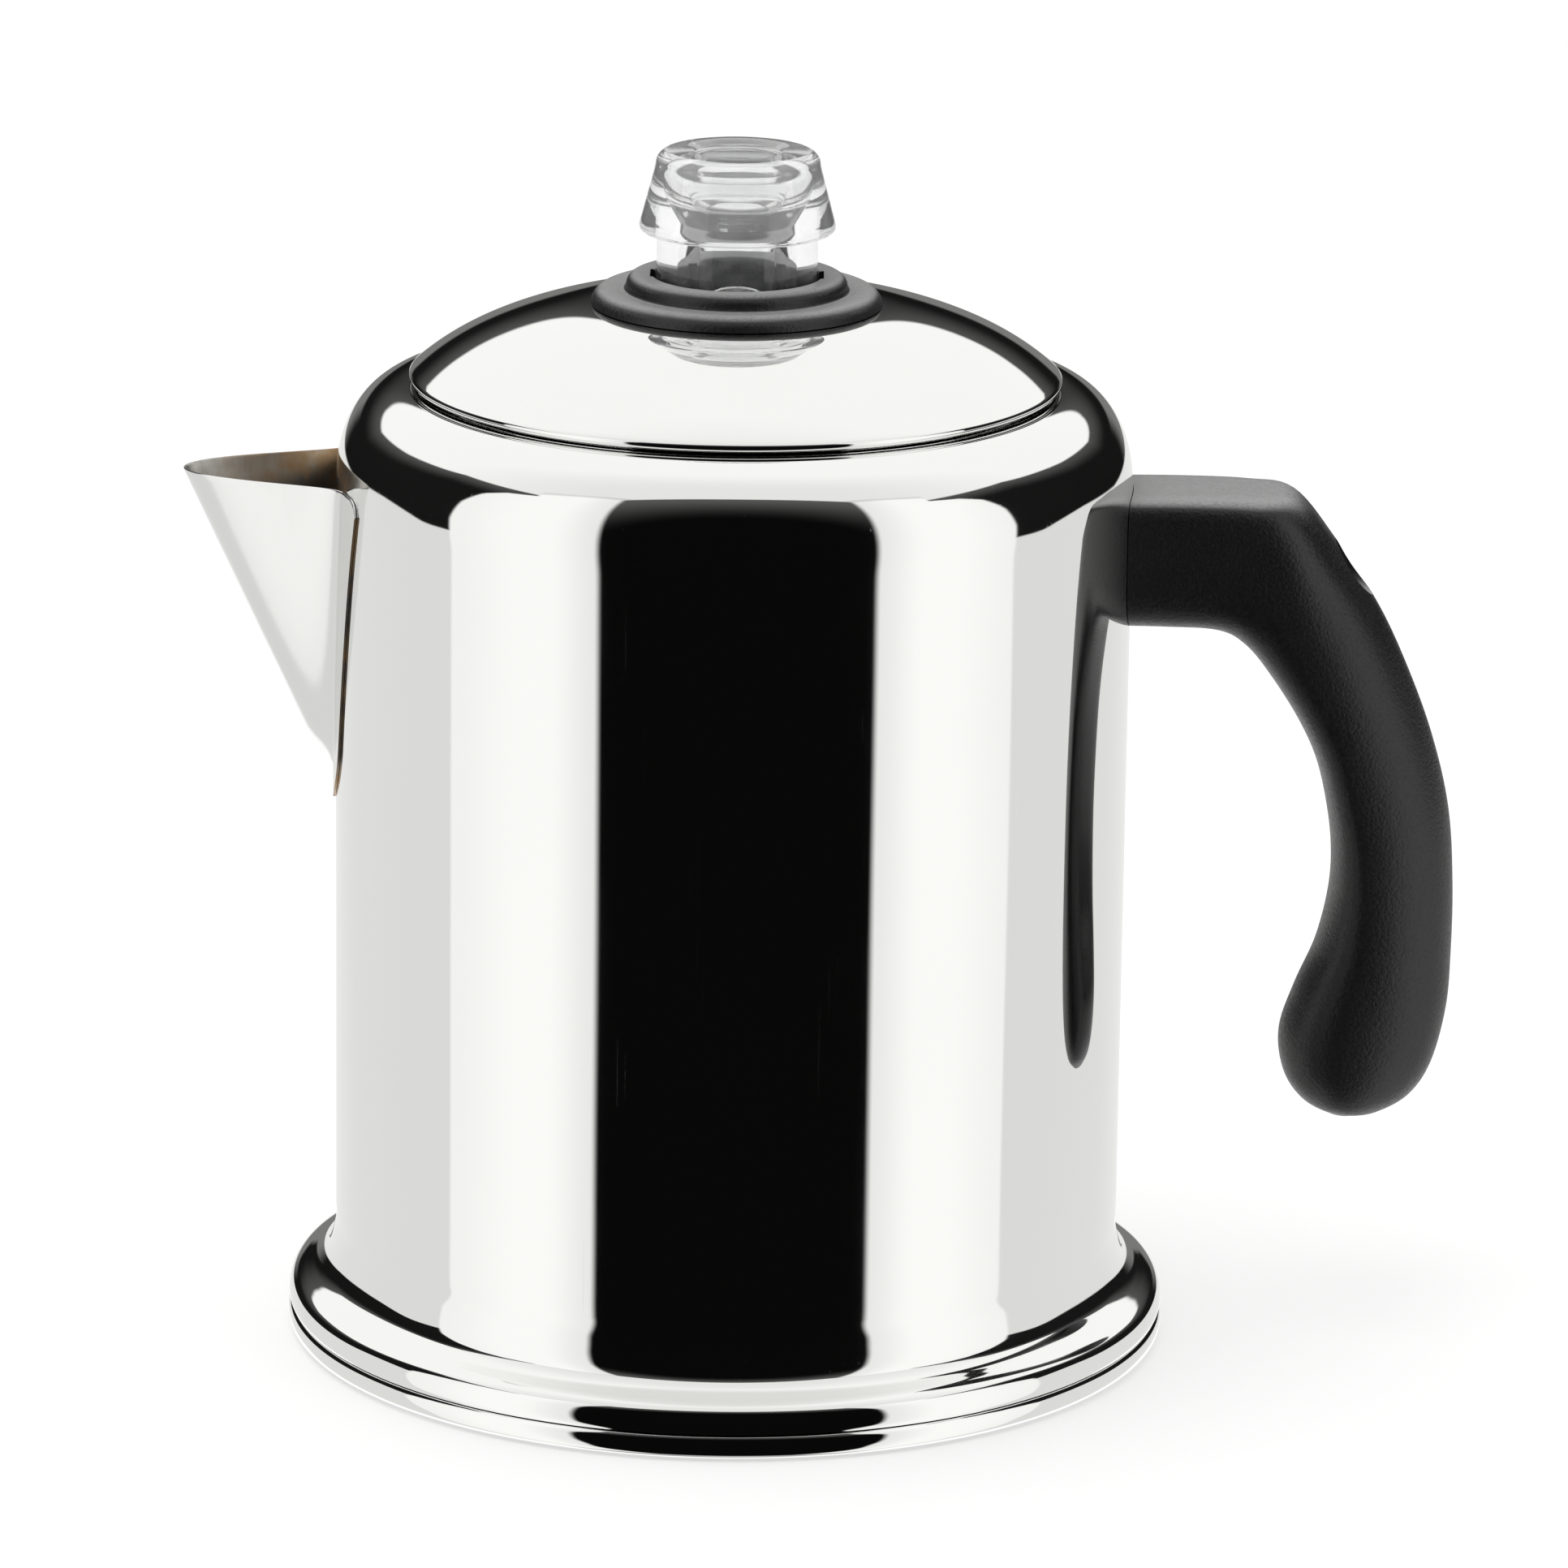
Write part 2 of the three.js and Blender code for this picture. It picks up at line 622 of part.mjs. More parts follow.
function group(name, ...children) {
  const result = new THREE.Group();
  result.name = name;
  result.add(...children);
  return result;
}

const fastening = group(
  'handle_fastening',
  piece('handle_bracket', handleBracket(), satinSteel()),
  piece('handle_nut', handleNut(), satinSteel()),
  piece('lock_washer', lockWasher(), satinSteel()),
  piece('handle_screw', handleScrew(), satinSteel()),
);
fastening.position.z = HANDLE_Z;

const pot = group(
  'pot',
  piece('body_shell', bodyShell(), polishedSteel()),
  piece('base_pan', basePan(), polishedSteel()),
  piece('spout', spout(), polishedSteel()),
  piece('handle_grip', handleGrip(), blackPlastic()),
  fastening,
);

const lid = group(
  'lid',
  piece('lid_shell', lidShell(), polishedSteel()),
  piece('knob_collar', knobCollar(), blackPlastic()),
  piece('collar_retainer', collarRetainer(), satinSteel()),
  piece('knob', knob(), clearPlastic()),
);

const basket = group(
  'basket',
  piece('basket_cup', basketCup(), satinSteel()),
  piece('basket_sleeve', basketSleeve(), satinSteel()),
  piece('grounds_spreader', groundsSpreader(), satinSteel()),
);

const pump = group(
  'pump',
  piece('stem_tube', stemTube(), satinSteel()),
  piece('basket_stop', basketStop(), satinSteel()),
  piece('stem_foot', stemFoot(), satinSteel()),
  piece('valve_cage', valveCage(), satinSteel()),
  piece('pump_valve', pumpValve(), satinSteel()),
);

export default group('percolator', pot, lid, basket, pump);
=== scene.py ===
import math

import bmesh
import bpy
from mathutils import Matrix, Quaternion, Vector, geometry, noise


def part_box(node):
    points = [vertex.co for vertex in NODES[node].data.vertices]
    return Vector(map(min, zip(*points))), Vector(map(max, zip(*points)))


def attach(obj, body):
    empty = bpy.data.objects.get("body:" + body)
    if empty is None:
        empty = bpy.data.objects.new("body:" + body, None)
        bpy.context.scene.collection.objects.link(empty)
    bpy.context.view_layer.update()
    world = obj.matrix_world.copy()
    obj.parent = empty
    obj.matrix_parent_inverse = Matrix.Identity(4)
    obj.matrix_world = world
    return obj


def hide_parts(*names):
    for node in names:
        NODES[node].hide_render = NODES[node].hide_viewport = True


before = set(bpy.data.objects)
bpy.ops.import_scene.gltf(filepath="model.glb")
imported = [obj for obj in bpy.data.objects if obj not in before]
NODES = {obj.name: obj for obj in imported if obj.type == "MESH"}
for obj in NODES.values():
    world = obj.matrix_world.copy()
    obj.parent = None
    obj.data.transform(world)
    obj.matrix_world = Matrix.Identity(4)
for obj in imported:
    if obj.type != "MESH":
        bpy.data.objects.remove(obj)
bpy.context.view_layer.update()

# Stovetop coffee percolator. Sizes are in millimetres here and become metres in each mesh.
# The pieces' materials, the key light, the floor and the camera are in metres.
# The origin is the centre of the base, +Z is up, the handle points along +X.

MM = 0.001


def low(node):
    """Lowest corner of a CAD node, in millimetres."""
    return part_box(node)[0] / MM


def high(node):
    """Highest corner of a CAD node, in millimetres."""
    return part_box(node)[1] / MM


# ------ sizes

RIM_R = high("base_pan").x       # rolled rim at the very bottom
BODY_R = 71.0                    # outside of the straight wall
GAP = 0.3                        # clearance between pieces that touch
SHEET = 0.8                      # drawn sheet of the pot and of the pump's bell
FOOT_TOP_Z = 19.0                # where the flared foot meets the straight wall
SHOULDER_Z = 155.8               # where the wall starts to turn in
SHOULDER_TOP_Z = high("body_shell").z
SHOULDER_R = 57.5                # radius at the top of the shoulder
SHOULDER_POWER = 2.3             # superellipse exponent of the shoulder
NECK_R = 56.2                    # inside of the turned-down neck
NECK_BOTTOM_Z = 168.5

LIP_Z = high("spout").z          # level lip of the spout
SPOUT_BOTTOM_Z = low("spout").z  # lowest point of its welded edge
SPOUT_SHEET = 0.45
SPOUT_SEAM = 0.05                # how far the welded flange stands off the wall
SPOUT_SLOPE = 0.461              # how fast the nose runs back towards the body
SPOUT_CHANNEL_Z = 105.2          # where the pouring channel leaves the flange
SPOUT_CHANNEL_ROUND = 5.4        # height of the channel's rounded underside
CAD_SPOUT_SKIN = 1.3             # the CAD's gap and sheet behind the spout's outer skin
SPOUT_NOSE = -low("spout").x - BODY_R - CAD_SPOUT_SKIN
SPOUT_LIFT = CAD_SPOUT_SKIN - SPOUT_SHEET - SPOUT_SEAM
SPOUT_CORNER = 2.7               # rounding of the flange's top corners
SPOUT_EDGE_TOP = 27.0            # half the width of the welded edge at the lip
SPOUT_EDGE_SLOPE = 0.25          # how fast the welded edge narrows downwards
SPOUT_FLARE_SHARE = 0.7          # share of the flange's width taken by the pouring channel
SPOUT_EDGE_ROUND = 12.0          # height over which the edge rounds off at the bottom

HANDLE_Z = (low("handle_bracket").z + high("handle_bracket").z) / 2
SCREW_SEAT_X = low("lock_washer").x - GAP
SCREW_R = 2.4
MOULD_SEAM_Y = 9.8               # where the handle's mould parted

DOME_Z = high("lid_shell").z     # top of the lid's flat centre
DOME_FLAT_R = 24.0               # radius of that flat
DOME_RADIUS = 52.0               # radius of the dome outside the flat
LID_RIM_R = 57.6
LID_HOLE_R = 18.6
LID_SHEET = 0.7
SKIRT_R = 55.6                   # outside of the skirt, inside the pot's neck
SKIRT_BOTTOM_Z = low("lid_shell").z

KNOB_TOP_Z = high("knob").z
KNOB_BOTTOM_Z = low("knob").z
KNOB_NECK_R = 14.3
KNOB_BORE_R = 7.0
KNOB_CAP_Z = 201.6               # where the neck starts to widen into the cap
LUG_R = 15.2                     # reach of the knob's two locking lugs
LUG_HALF_ANGLE = 11              # degrees
LUG_REST_ANGLE = -60             # degrees, where a locked lug sits from +X

STEM_R = high("stem_tube").x
BASKET_R = 50.0
BASKET_FLOOR_Z = low("basket_cup").z
BASKET_RIM_Z = high("basket_cup").z
THIN_SHEET = 0.6                 # sheet of the basket

TURNS = 240                      # facets round the large turned pieces
SMALL_TURNS = 96                 # facets round the small ones
SHARP = math.radians(38)         # edges sharper than this aren't smoothed


# ------ outlines

def spline(points, steps):
    """A smooth curve through the points."""
    out = []
    last = len(points) - 1
    for i in range(last):
        p0, p1, p2, p3 = (points[max(0, min(last, i + k))] for k in (-1, 0, 1, 2))
        for step in range(steps):
            t = step / steps
            out.append(tuple(catmull(a, b, c, d, t) for a, b, c, d in zip(p0, p1, p2, p3)))
    return out + [tuple(points[-1])]


def catmull(a, b, c, d, t):
    """The uniform Catmull-Rom blend of four values."""
    half = 0.5 * (c - a)
    half_next = 0.5 * (d - b)
    cubic = (2 * b - 2 * c + half + half_next) * t ** 3
    square = (-3 * b + 3 * c - 2 * half - half_next) * t ** 2
    return cubic + square + half * t + b


def arc(centre_r, centre_z, radius, start, end, steps):
    """Points on a circular arc in the (radius, height) plane, angles in degrees."""
    out = []
    for i in range(steps + 1):
        angle = math.radians(start + (end - start) * i / steps)
        out.append((centre_r + radius * math.cos(angle), centre_z + radius * math.sin(angle)))
    return out


def straight(start, end, steps):
    """Evenly spaced points on a line, without its last point."""
    return [
        tuple(a + (b - a) * i / steps for a, b in zip(start, end)) for i in range(steps)
    ]


def thick(skin, thickness):
    """Closes a skin into a sheet: the skin out, and its offset to the left back."""
    inner = []
    for i, (r, z) in enumerate(skin):
        before = skin[max(i - 1, 0)]
        after = skin[min(i + 1, len(skin) - 1)]
        length = math.dist(before, after)
        dr, dz = (after[0] - before[0]) / length, (after[1] - before[1]) / length
        inner.append((r - dz * thickness, z + dr * thickness))
    return list(skin) + inner[::-1]


def rounded(points, radius=0.25):
    """Rounds every corner of a closed outline with a small fillet."""
    steps = 3
    out = []
    count = len(points)
    for i in range(count):
        here = Vector(points[i])
        before = Vector(points[i - 1])
        after = Vector(points[(i + 1) % count])
        back, ahead = before - here, after - here
        reach = min(radius, back.length * 0.45, ahead.length * 0.45)
        start = here + back.normalized() * reach
        end = here + ahead.normalized() * reach
        for step in range(steps + 1):
            t = step / steps
            point = start * (1 - t) ** 2 + here * 2 * t * (1 - t) + end * t ** 2
            out.append((point.x, point.y))
    return out


# ------ mesh builders

def add_piece(name, vertices, faces):
    """Makes a mesh object from points in millimetres, with its faces pointing out."""
    mesh = bpy.data.meshes.new(name)
    mesh.from_pydata([[c * MM for c in v] for v in vertices], [], faces)
    piece = bpy.data.objects.new(name, mesh)
    bpy.context.scene.collection.objects.link(piece)
    clean(piece)
    shade(piece)
    return piece


def clean(piece):
    """Welds doubled points and turns the faces outward."""
    work = bmesh.new()
    work.from_mesh(piece.data)
    bmesh.ops.remove_doubles(work, verts=work.verts, dist=1e-7)
    bmesh.ops.dissolve_degenerate(work, edges=work.edges, dist=1e-8)
    bmesh.ops.recalc_face_normals(work, faces=work.faces)
    if work.calc_volume(signed=True) < 0:
        bmesh.ops.reverse_faces(work, faces=work.faces)
    work.to_mesh(piece.data)
    work.free()


def shade(piece):
    """Smooths everything except the sharp edges."""
    piece.data.shade_smooth()
    piece.data.set_sharp_from_angle(angle=SHARP)


def turned(name, outline, turns=TURNS, closed=True):
    """Turns an outline of (radius, height) points about the Z axis."""
    vertices = []
    rows = []
    for r, z in outline:
        if r < 1e-6:
            rows.append([len(vertices)] * turns)
            vertices.append((0, 0, z))
            continue
        rows.append(list(range(len(vertices), len(vertices) + turns)))
        for j in range(turns):
            angle = 2 * math.pi * j / turns
            vertices.append((r * math.cos(angle), r * math.sin(angle), z))
    faces = []
    pairs = list(zip(rows, rows[1:]))
    on_axis = outline[0][0] < 1e-6 and outline[-1][0] < 1e-6
    if closed and not on_axis:
        pairs.append((rows[-1], rows[0]))
    for lower, upper in pairs:
        for j in range(turns):
            k = (j + 1) % turns
            corners = [lower[j], lower[k], upper[k], upper[j]]
            face = list(dict.fromkeys(corners))
            if len(face) > 2:
                faces.append(face)
    return add_piece(name, vertices, faces)


def grid(name, rings, closed_ends=True):
    """Skins rings of equal length, each closed on itself."""
    count = len(rings[0])
    vertices = [point for ring in rings for point in ring]
    faces = []
    for i in range(len(rings) - 1):
        for j in range(count):
            k = (j + 1) % count
            faces.append([i * count + j, i * count + k, (i + 1) * count + k, (i + 1) * count + j])
    if closed_ends:
        faces.append(list(range(count))[::-1])
        faces.append([(len(rings) - 1) * count + j for j in range(count)])
    return add_piece(name, vertices, faces)


def prism(name, outline, z0, z1):
    """An upright prism of an outline in the XY plane."""
    count = len(outline)
    vertices = [(x, y, z0) for x, y in outline] + [(x, y, z1) for x, y in outline]
    faces = [list(range(count))[::-1], list(range(count, 2 * count))]
    faces += [[j, (j + 1) % count, count + (j + 1) % count, count + j] for j in range(count)]
    return add_piece(name, vertices, faces)


def lay_along_x(piece, z):
    """Turns a piece made about Z so that its axis runs along X at height z."""
    for vertex in piece.data.vertices:
        x, y, along = vertex.co
        vertex.co = (along, y, z * MM - x)
    clean(piece)
    shade(piece)
    return piece


def cut(piece, *tools):
    """Cuts the tools out of a piece and removes them."""
    for tool in tools:
        boolean(piece, tool, "DIFFERENCE")
    return piece


def boolean(piece, tool, operation):
    """Applies one boolean and removes its tool."""
    modifier = piece.modifiers.new("boolean", "BOOLEAN")
    modifier.operation = operation
    modifier.object = tool
    modifier.solver = "EXACT"
    bpy.context.view_layer.objects.active = piece
    with bpy.context.temp_override(object=piece, active_object=piece):
        bpy.ops.object.modifier_apply(modifier=modifier.name)
    bpy.data.objects.remove(tool)
    shade(piece)


def box(name, x0, y0, z0, x1, y1, z1):
    return prism(name, [(x0, y0), (x1, y0), (x1, y1), (x0, y1)], z0, z1)


def circle(radius, count, x=0.0, y=0.0):
    return [
        (x + radius * math.cos(angle), y + radius * math.sin(angle))
        for angle in (2 * math.pi * j / count for j in range(count))
    ]


def perforated(name, inner_r, outer_r, top, thickness, hole_r, pitch, skin):
    """A flat plate with rings of round holes, joined to turned skins at its two edges."""
    margin = hole_r + 1.2
    loops = [circle(outer_r, TURNS), circle(inner_r, TURNS)]
    rings = int((outer_r - inner_r - 2 * margin) / pitch)
    for ring in range(rings + 1):
        radius = inner_r + margin + (outer_r - inner_r - 2 * margin) * ring / rings
        holes = round(2 * math.pi * radius / pitch)
        for k in range(holes):
            angle = 2 * math.pi * (k + 0.5 * (ring % 2)) / holes
            loops.append(circle(hole_r, 14, radius * math.cos(angle), radius * math.sin(angle)))
    points = [Vector(p) for loop in loops for p in loop]
    edges, first = [], 0
    for loop in loops:
        edges += [(first + j, first + (j + 1) % len(loop)) for j in range(len(loop))]
        first += len(loop)
    flat = geometry.delaunay_2d_cdt(points, edges, [], 0, 1e-5)
    kept = [face for face in flat[2] if between(face, flat[0], loops, outer_r, inner_r)]
    count = len(flat[0])
    vertices = [(p.x, p.y, top) for p in flat[0]] + [(p.x, p.y, top - thickness) for p in flat[0]]
    faces = [list(f) for f in kept] + [[count + i for i in reversed(f)] for f in kept]
    for loop_first, loop in starts(loops[2:], 2 * TURNS):
        size = len(loop)
        for j in range(size):
            a, b = loop_first + j, loop_first + (j + 1) % size
            faces.append([a, b, b + count, a + count])
    plate = add_piece(name, vertices, faces)
    for part in skin:
        join(plate, part)
    clean(plate)
    shade(plate)
    return plate


def starts(loops, first):
    """Each loop with the number of its first point."""
    for loop in loops:
        yield first, loop
        first += len(loop)


def between(face, points, loops, outer_r, inner_r):
    """Whether a triangle lies on the plate and not over a hole."""
    middle = sum((points[i] for i in face), Vector((0, 0))) / 3
    if not inner_r - 1e-3 < middle.length < outer_r:
        return False
    ids = sorted(face)
    first = len(loops[0]) + len(loops[1])
    if ids[0] < first:
        return True
    size = len(loops[2])
    return len({(i - first) // size for i in ids}) > 1


def join(piece, other):
    """Joins another mesh into a piece."""
    work = bmesh.new()
    work.from_mesh(piece.data)
    work.from_mesh(other.data)
    work.to_mesh(piece.data)
    work.free()
    bpy.data.objects.remove(other)


# ------ materials

class Nodes:
    """Short names for building a node tree."""

    def __init__(self, tree):
        self.tree = tree

    def add(self, kind, **values):
        node = self.tree.nodes.new(kind)
        for key, value in values.items():
            setattr(node, key, value)
        return node

    def link(self, source, target):
        self.tree.links.new(source, target)

    def put(self, socket, value):
        if isinstance(value, bpy.types.NodeSocket):
            self.link(value, socket)
        else:
            socket.default_value = value

    def fill(self, node, sockets, values):
        for socket, value in zip(sockets, values):
            self.put(node.inputs[socket], value)

    def math(self, operation, a, b=0.0, c=0.0):
        node = self.add("ShaderNodeMath", operation=operation)
        self.fill(node, range(3), (a, b, c))
        return node.outputs[0]

    def ramp(self, value, start, end, low_value=0.0, high_value=1.0, smooth=True):
        kind = "SMOOTHSTEP" if smooth else "LINEAR"
        node = self.add("ShaderNodeMapRange", interpolation_type=kind)
        self.fill(node, range(5), (value, start, end, low_value, high_value))
        return node.outputs[0]

    def table(self, value, points):
        """Straight lines from point to point, level outside them."""
        total = points[0][1]
        for (start, before), (end, after) in zip(points, points[1:]):
            step = self.ramp(value, start, end, 0.0, after - before, smooth=False)
            total = self.math("ADD", step, total)
        return total

    def mix(self, factor, a, b):
        node = self.add("ShaderNodeMix", data_type="FLOAT")
        self.fill(node, (0, 2, 3), (factor, a, b))
        return node.outputs[0]

    def mix_color(self, factor, a, b):
        node = self.add("ShaderNodeMix", data_type="RGBA")
        self.fill(node, (0, 6, 7), (factor, a, b))
        return node.outputs[2]

    def noise(self, vector, scale, detail=2.0, roughness=0.5):
        node = self.add("ShaderNodeTexNoise")
        sockets = ("Vector", "Scale", "Detail", "Roughness")
        self.fill(node, sockets, (vector, scale, detail, roughness))
        return node.outputs[0]

    def place(self):
        """The point in the mesh's own coordinates, in metres, so that it moves with the piece."""
        return self.add("ShaderNodeTexCoord").outputs["Object"]

    def split(self, vector):
        node = self.add("ShaderNodeSeparateXYZ")
        self.link(vector, node.inputs[0])
        return node.outputs

    def combine(self, x, y, z):
        node = self.add("ShaderNodeCombineXYZ")
        self.fill(node, range(3), (x, y, z))
        return node.outputs[0]

    def from_axis(self, x, y):
        """Distance from the Z axis."""
        squares = self.math("ADD", self.math("MULTIPLY", x, x), self.math("MULTIPLY", y, y))
        return self.math("SQRT", squares)

    def stretched(self, vector, scale, turn=(0, 0, 0)):
        node = self.add("ShaderNodeMapping")
        self.put(node.inputs["Vector"], vector)
        node.inputs["Rotation"].default_value = [math.radians(a) for a in turn]
        node.inputs["Scale"].default_value = scale
        return node.outputs[0]

    def bump(self, height, strength, distance):
        node = self.add("ShaderNodeBump")
        self.put(node.inputs["Height"], height)
        node.inputs["Strength"].default_value = strength
        node.inputs["Distance"].default_value = distance
        return node.outputs[0]


def material(name, **values):
    """A Principled material; values go on the shader's own sockets."""
    made = bpy.data.materials.new(name)
    made.use_nodes = True
    shader = made.node_tree.nodes["Principled BSDF"]
    for key, value in values.items():
        shader.inputs[key.replace("_", " ")].default_value = value
    return made, Nodes(made.node_tree), shader


def scratches(nodes, place, turn, density):
    """A mask of fine straight hairlines, running across the given turn."""
    lines = nodes.noise(nodes.stretched(place, (2600, 2600, 24), turn), 1.0, 1.0)
    patches = nodes.noise(place, 45.0, 1.0)
    threshold = nodes.ramp(patches, 0.35, 0.7, density + 0.06, density)
    return nodes.ramp(lines, threshold, nodes.math("ADD", threshold, 0.05))


def polished_steel():
    """Mirror-polished steel, faintly cloudy, with two sets of fine hairlines."""
    made, nodes, shader = material("polished_steel", Metallic=1.0)
    place = nodes.place()
    cloud = nodes.noise(place, 22.0, 3.0)
    marks = nodes.math(
        "MAXIMUM",
        scratches(nodes, place, (4, 7, 0), 0.72),
        scratches(nodes, place, (-28, 16, 0), 0.76),
    )
    tint = nodes.mix_color(cloud, (0.885, 0.885, 0.875, 1), (0.91, 0.91, 0.90, 1))
    nodes.link(tint, shader.inputs["Base Color"])
    smear = nodes.ramp(cloud, 0.3, 0.75, 0.025, 0.05)
    nodes.link(nodes.math("MULTIPLY_ADD", marks, 0.10, smear), shader.inputs["Roughness"])
    nodes.link(nodes.bump(marks, 0.05, 0.00002), shader.inputs["Normal"])
    return made


def satin_steel():
    """Brushed steel, its fine lines running round the Z axis."""
    made, nodes, shader = material("satin_steel", Metallic=1.0)
    place = nodes.place()
    x, y, z = nodes.split(place)
    lines_per_metre = 4200.0
    around = nodes.combine(
        nodes.math("MULTIPLY", nodes.from_axis(x, y), lines_per_metre),
        nodes.math("MULTIPLY", nodes.math("ARCTAN2", y, x), 3.0),
        nodes.math("MULTIPLY", z, lines_per_metre),
    )
    lines = nodes.noise(around, 1.0, 3.0)
    cloud = nodes.noise(place, 60.0, 3.0)
    tint = nodes.mix_color(cloud, (0.60, 0.60, 0.59, 1), (0.70, 0.70, 0.69, 1))
    nodes.link(tint, shader.inputs["Base Color"])
    nodes.link(nodes.ramp(lines, 0.3, 0.7, 0.2, 0.34), shader.inputs["Roughness"])
    nodes.link(nodes.bump(lines, 0.25, 0.00003), shader.inputs["Normal"])
    return made


def formed_steel():
    """Outside of the spout: formed sheet, polished less finely than the pot."""
    made, nodes, shader = material("formed_steel", Metallic=1.0)
    place = nodes.place()
    cloud = nodes.noise(place, 35.0, 3.0)
    streaks = nodes.noise(nodes.stretched(place, (900, 900, 30)), 1.0, 2.0)
    tint = nodes.mix_color(cloud, (0.82, 0.82, 0.81, 1), (0.86, 0.86, 0.85, 1))
    nodes.link(tint, shader.inputs["Base Color"])
    blur = nodes.math("MULTIPLY_ADD", nodes.ramp(streaks, 0.45, 0.7), 0.04, 0.15)
    nodes.link(nodes.math("ADD", blur, nodes.ramp(cloud, 0.3, 0.7, 0.0, 0.05)), shader.inputs["Roughness"])
    nodes.link(nodes.bump(streaks, 0.04, 0.00003), shader.inputs["Normal"])
    return made


def heat_tinted_steel():
    """Inside of the spout: unpolished, streaked, with brown staining towards the pot."""
    made, nodes, shader = material("heat_tinted_steel", Metallic=1.0)
    place = nodes.place()
    cloud = nodes.noise(place, 150.0, 5.0, 0.65)
    streaks = nodes.noise(nodes.stretched(place, (700, 700, 60)), 1.0, 3.0)
    near_pot = nodes.ramp(nodes.split(place)[0], -0.096, -0.080)
    stain = nodes.math("MULTIPLY", nodes.ramp(cloud, 0.30, 0.60), near_pot)
    steel = nodes.mix_color(streaks, (0.30, 0.29, 0.27, 1), (0.60, 0.58, 0.54, 1))
    stained = nodes.mix_color(stain, steel, (0.52, 0.35, 0.205, 1))
    nodes.link(stained, shader.inputs["Base Color"])
    nodes.link(nodes.ramp(cloud, 0.3, 0.7, 0.30, 0.48), shader.inputs["Roughness"])
    nodes.link(nodes.bump(cloud, 0.15, 0.0001), shader.inputs["Normal"])
    return made


def black_phenolic():
    """Moulded black phenolic with a fine grain and the mould's seam on the handle. The faces
    that look up are painted a lighter grey: a painted highlight of the overhead light."""
    made, nodes, shader = material("black_phenolic", Specular_IOR_Level=0.56)
    place = nodes.place()
    grain = nodes.noise(place, 1700.0, 2.0, 0.6)
    coarse = nodes.noise(place, 520.0, 2.0)
    cloud = nodes.noise(place, 30.0, 3.0)
    upward = nodes.split(nodes.add("ShaderNodeNewGeometry").outputs["Normal"])[2]
    # Painted highlight: faces that look up are mixed towards light grey in place of the overhead light
    # they reflect, broken up by the grain.
    painted_top_light = nodes.ramp(upward, 0.62, 1.0)
    painted_top_light = nodes.math("MULTIPLY", painted_top_light, nodes.ramp(grain, 0.2, 0.8, 0.75, 1.25))
    tint = nodes.mix_color(cloud, (0.004, 0.004, 0.0045, 1), (0.007, 0.007, 0.0075, 1))
    tint = nodes.mix_color(painted_top_light, tint, (0.25, 0.25, 0.25, 1))
    nodes.link(tint, shader.inputs["Base Color"])
    speckle = nodes.ramp(grain, 0.35, 0.68, -0.05, 0.05)
    smooth = nodes.ramp(cloud, 0.3, 0.7, 0.37, 0.43)
    nodes.link(nodes.math("ADD", smooth, speckle), shader.inputs["Roughness"])
    x, y, _ = nodes.split(place)
    from_seam = nodes.math("ABSOLUTE", nodes.math("SUBTRACT", y, MOULD_SEAM_Y * MM))
    seam = nodes.math("MULTIPLY", nodes.ramp(from_seam, 0.00025, 0.0), nodes.ramp(x, 0.060, 0.062))
    height = nodes.math("MULTIPLY_ADD", coarse, 0.25, grain)
    height = nodes.math("MULTIPLY_ADD", seam, 3.0, height)
    nodes.link(nodes.bump(height, 0.8, 0.00014), shader.inputs["Normal"])
    return made


def clear_plastic():
    """Clear moulded plastic: the cap is hazier from wear than the neck below it."""
    made, nodes, shader = material(
        "clear_plastic", Base_Color=(0.97, 0.975, 0.975, 1), IOR=1.49, Roughness=0.012,
    )
    place = nodes.place()
    wear = nodes.noise(place, 260.0, 3.0)
    haze_start, haze_end = (KNOB_CAP_Z - 0.1) * MM, (KNOB_CAP_Z + 1.9) * MM
    clear = nodes.ramp(nodes.split(place)[2], haze_start, haze_end, 0.965, 0.82)
    clear = nodes.math("ADD", clear, nodes.ramp(wear, 0.35, 0.7, 0.02, -0.03))
    nodes.link(clear, shader.inputs["Transmission Weight"])
    flow = nodes.noise(place, 140.0, 2.0)
    nodes.link(nodes.bump(flow, 0.06, 0.0003), shader.inputs["Normal"])
    return made


STEEL = polished_steel()
SATIN = satin_steel()
FORMED = formed_steel()
STAINED = heat_tinted_steel()
BLACK = black_phenolic()
CLEAR = clear_plastic()


def finish(piece, made, body, slot, *replaced):
    """Gives a piece its material, its body and the CAD nodes it stands for."""
    piece.data.materials.clear()
    piece.data.materials.append(made)
    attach(piece, body)
    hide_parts(*replaced)


# ------ pot

# The foot's flare as (radius, height), from its lower edge up to the straight wall.
FOOT = [
    (79.3, 4.75), (79.5, 5.5), (79.45, 6.6), (79.2, 7.7), (78.8, 8.6), (78.1, 9.35),
    (77.1, 9.95), (75.8, 10.55), (74.5, 11.2), (73.4, 12.1), (72.6, 13.2), (72.0, 14.6),
    (71.5, 16.4), (BODY_R, FOOT_TOP_Z),
]


def shoulder():
    """The superellipse between the wall and the top of the pot, without its last point."""
    steps = 44
    out = []
    for i in range(steps):
        angle = math.pi / 2 * i / steps
        across = math.cos(angle) ** (2 / SHOULDER_POWER)
        up = math.sin(angle) ** (2 / SHOULDER_POWER)
        out.append((
            SHOULDER_R + (BODY_R - SHOULDER_R) * across,
            SHOULDER_Z + (SHOULDER_TOP_Z - SHOULDER_Z) * up,
        ))
    return out


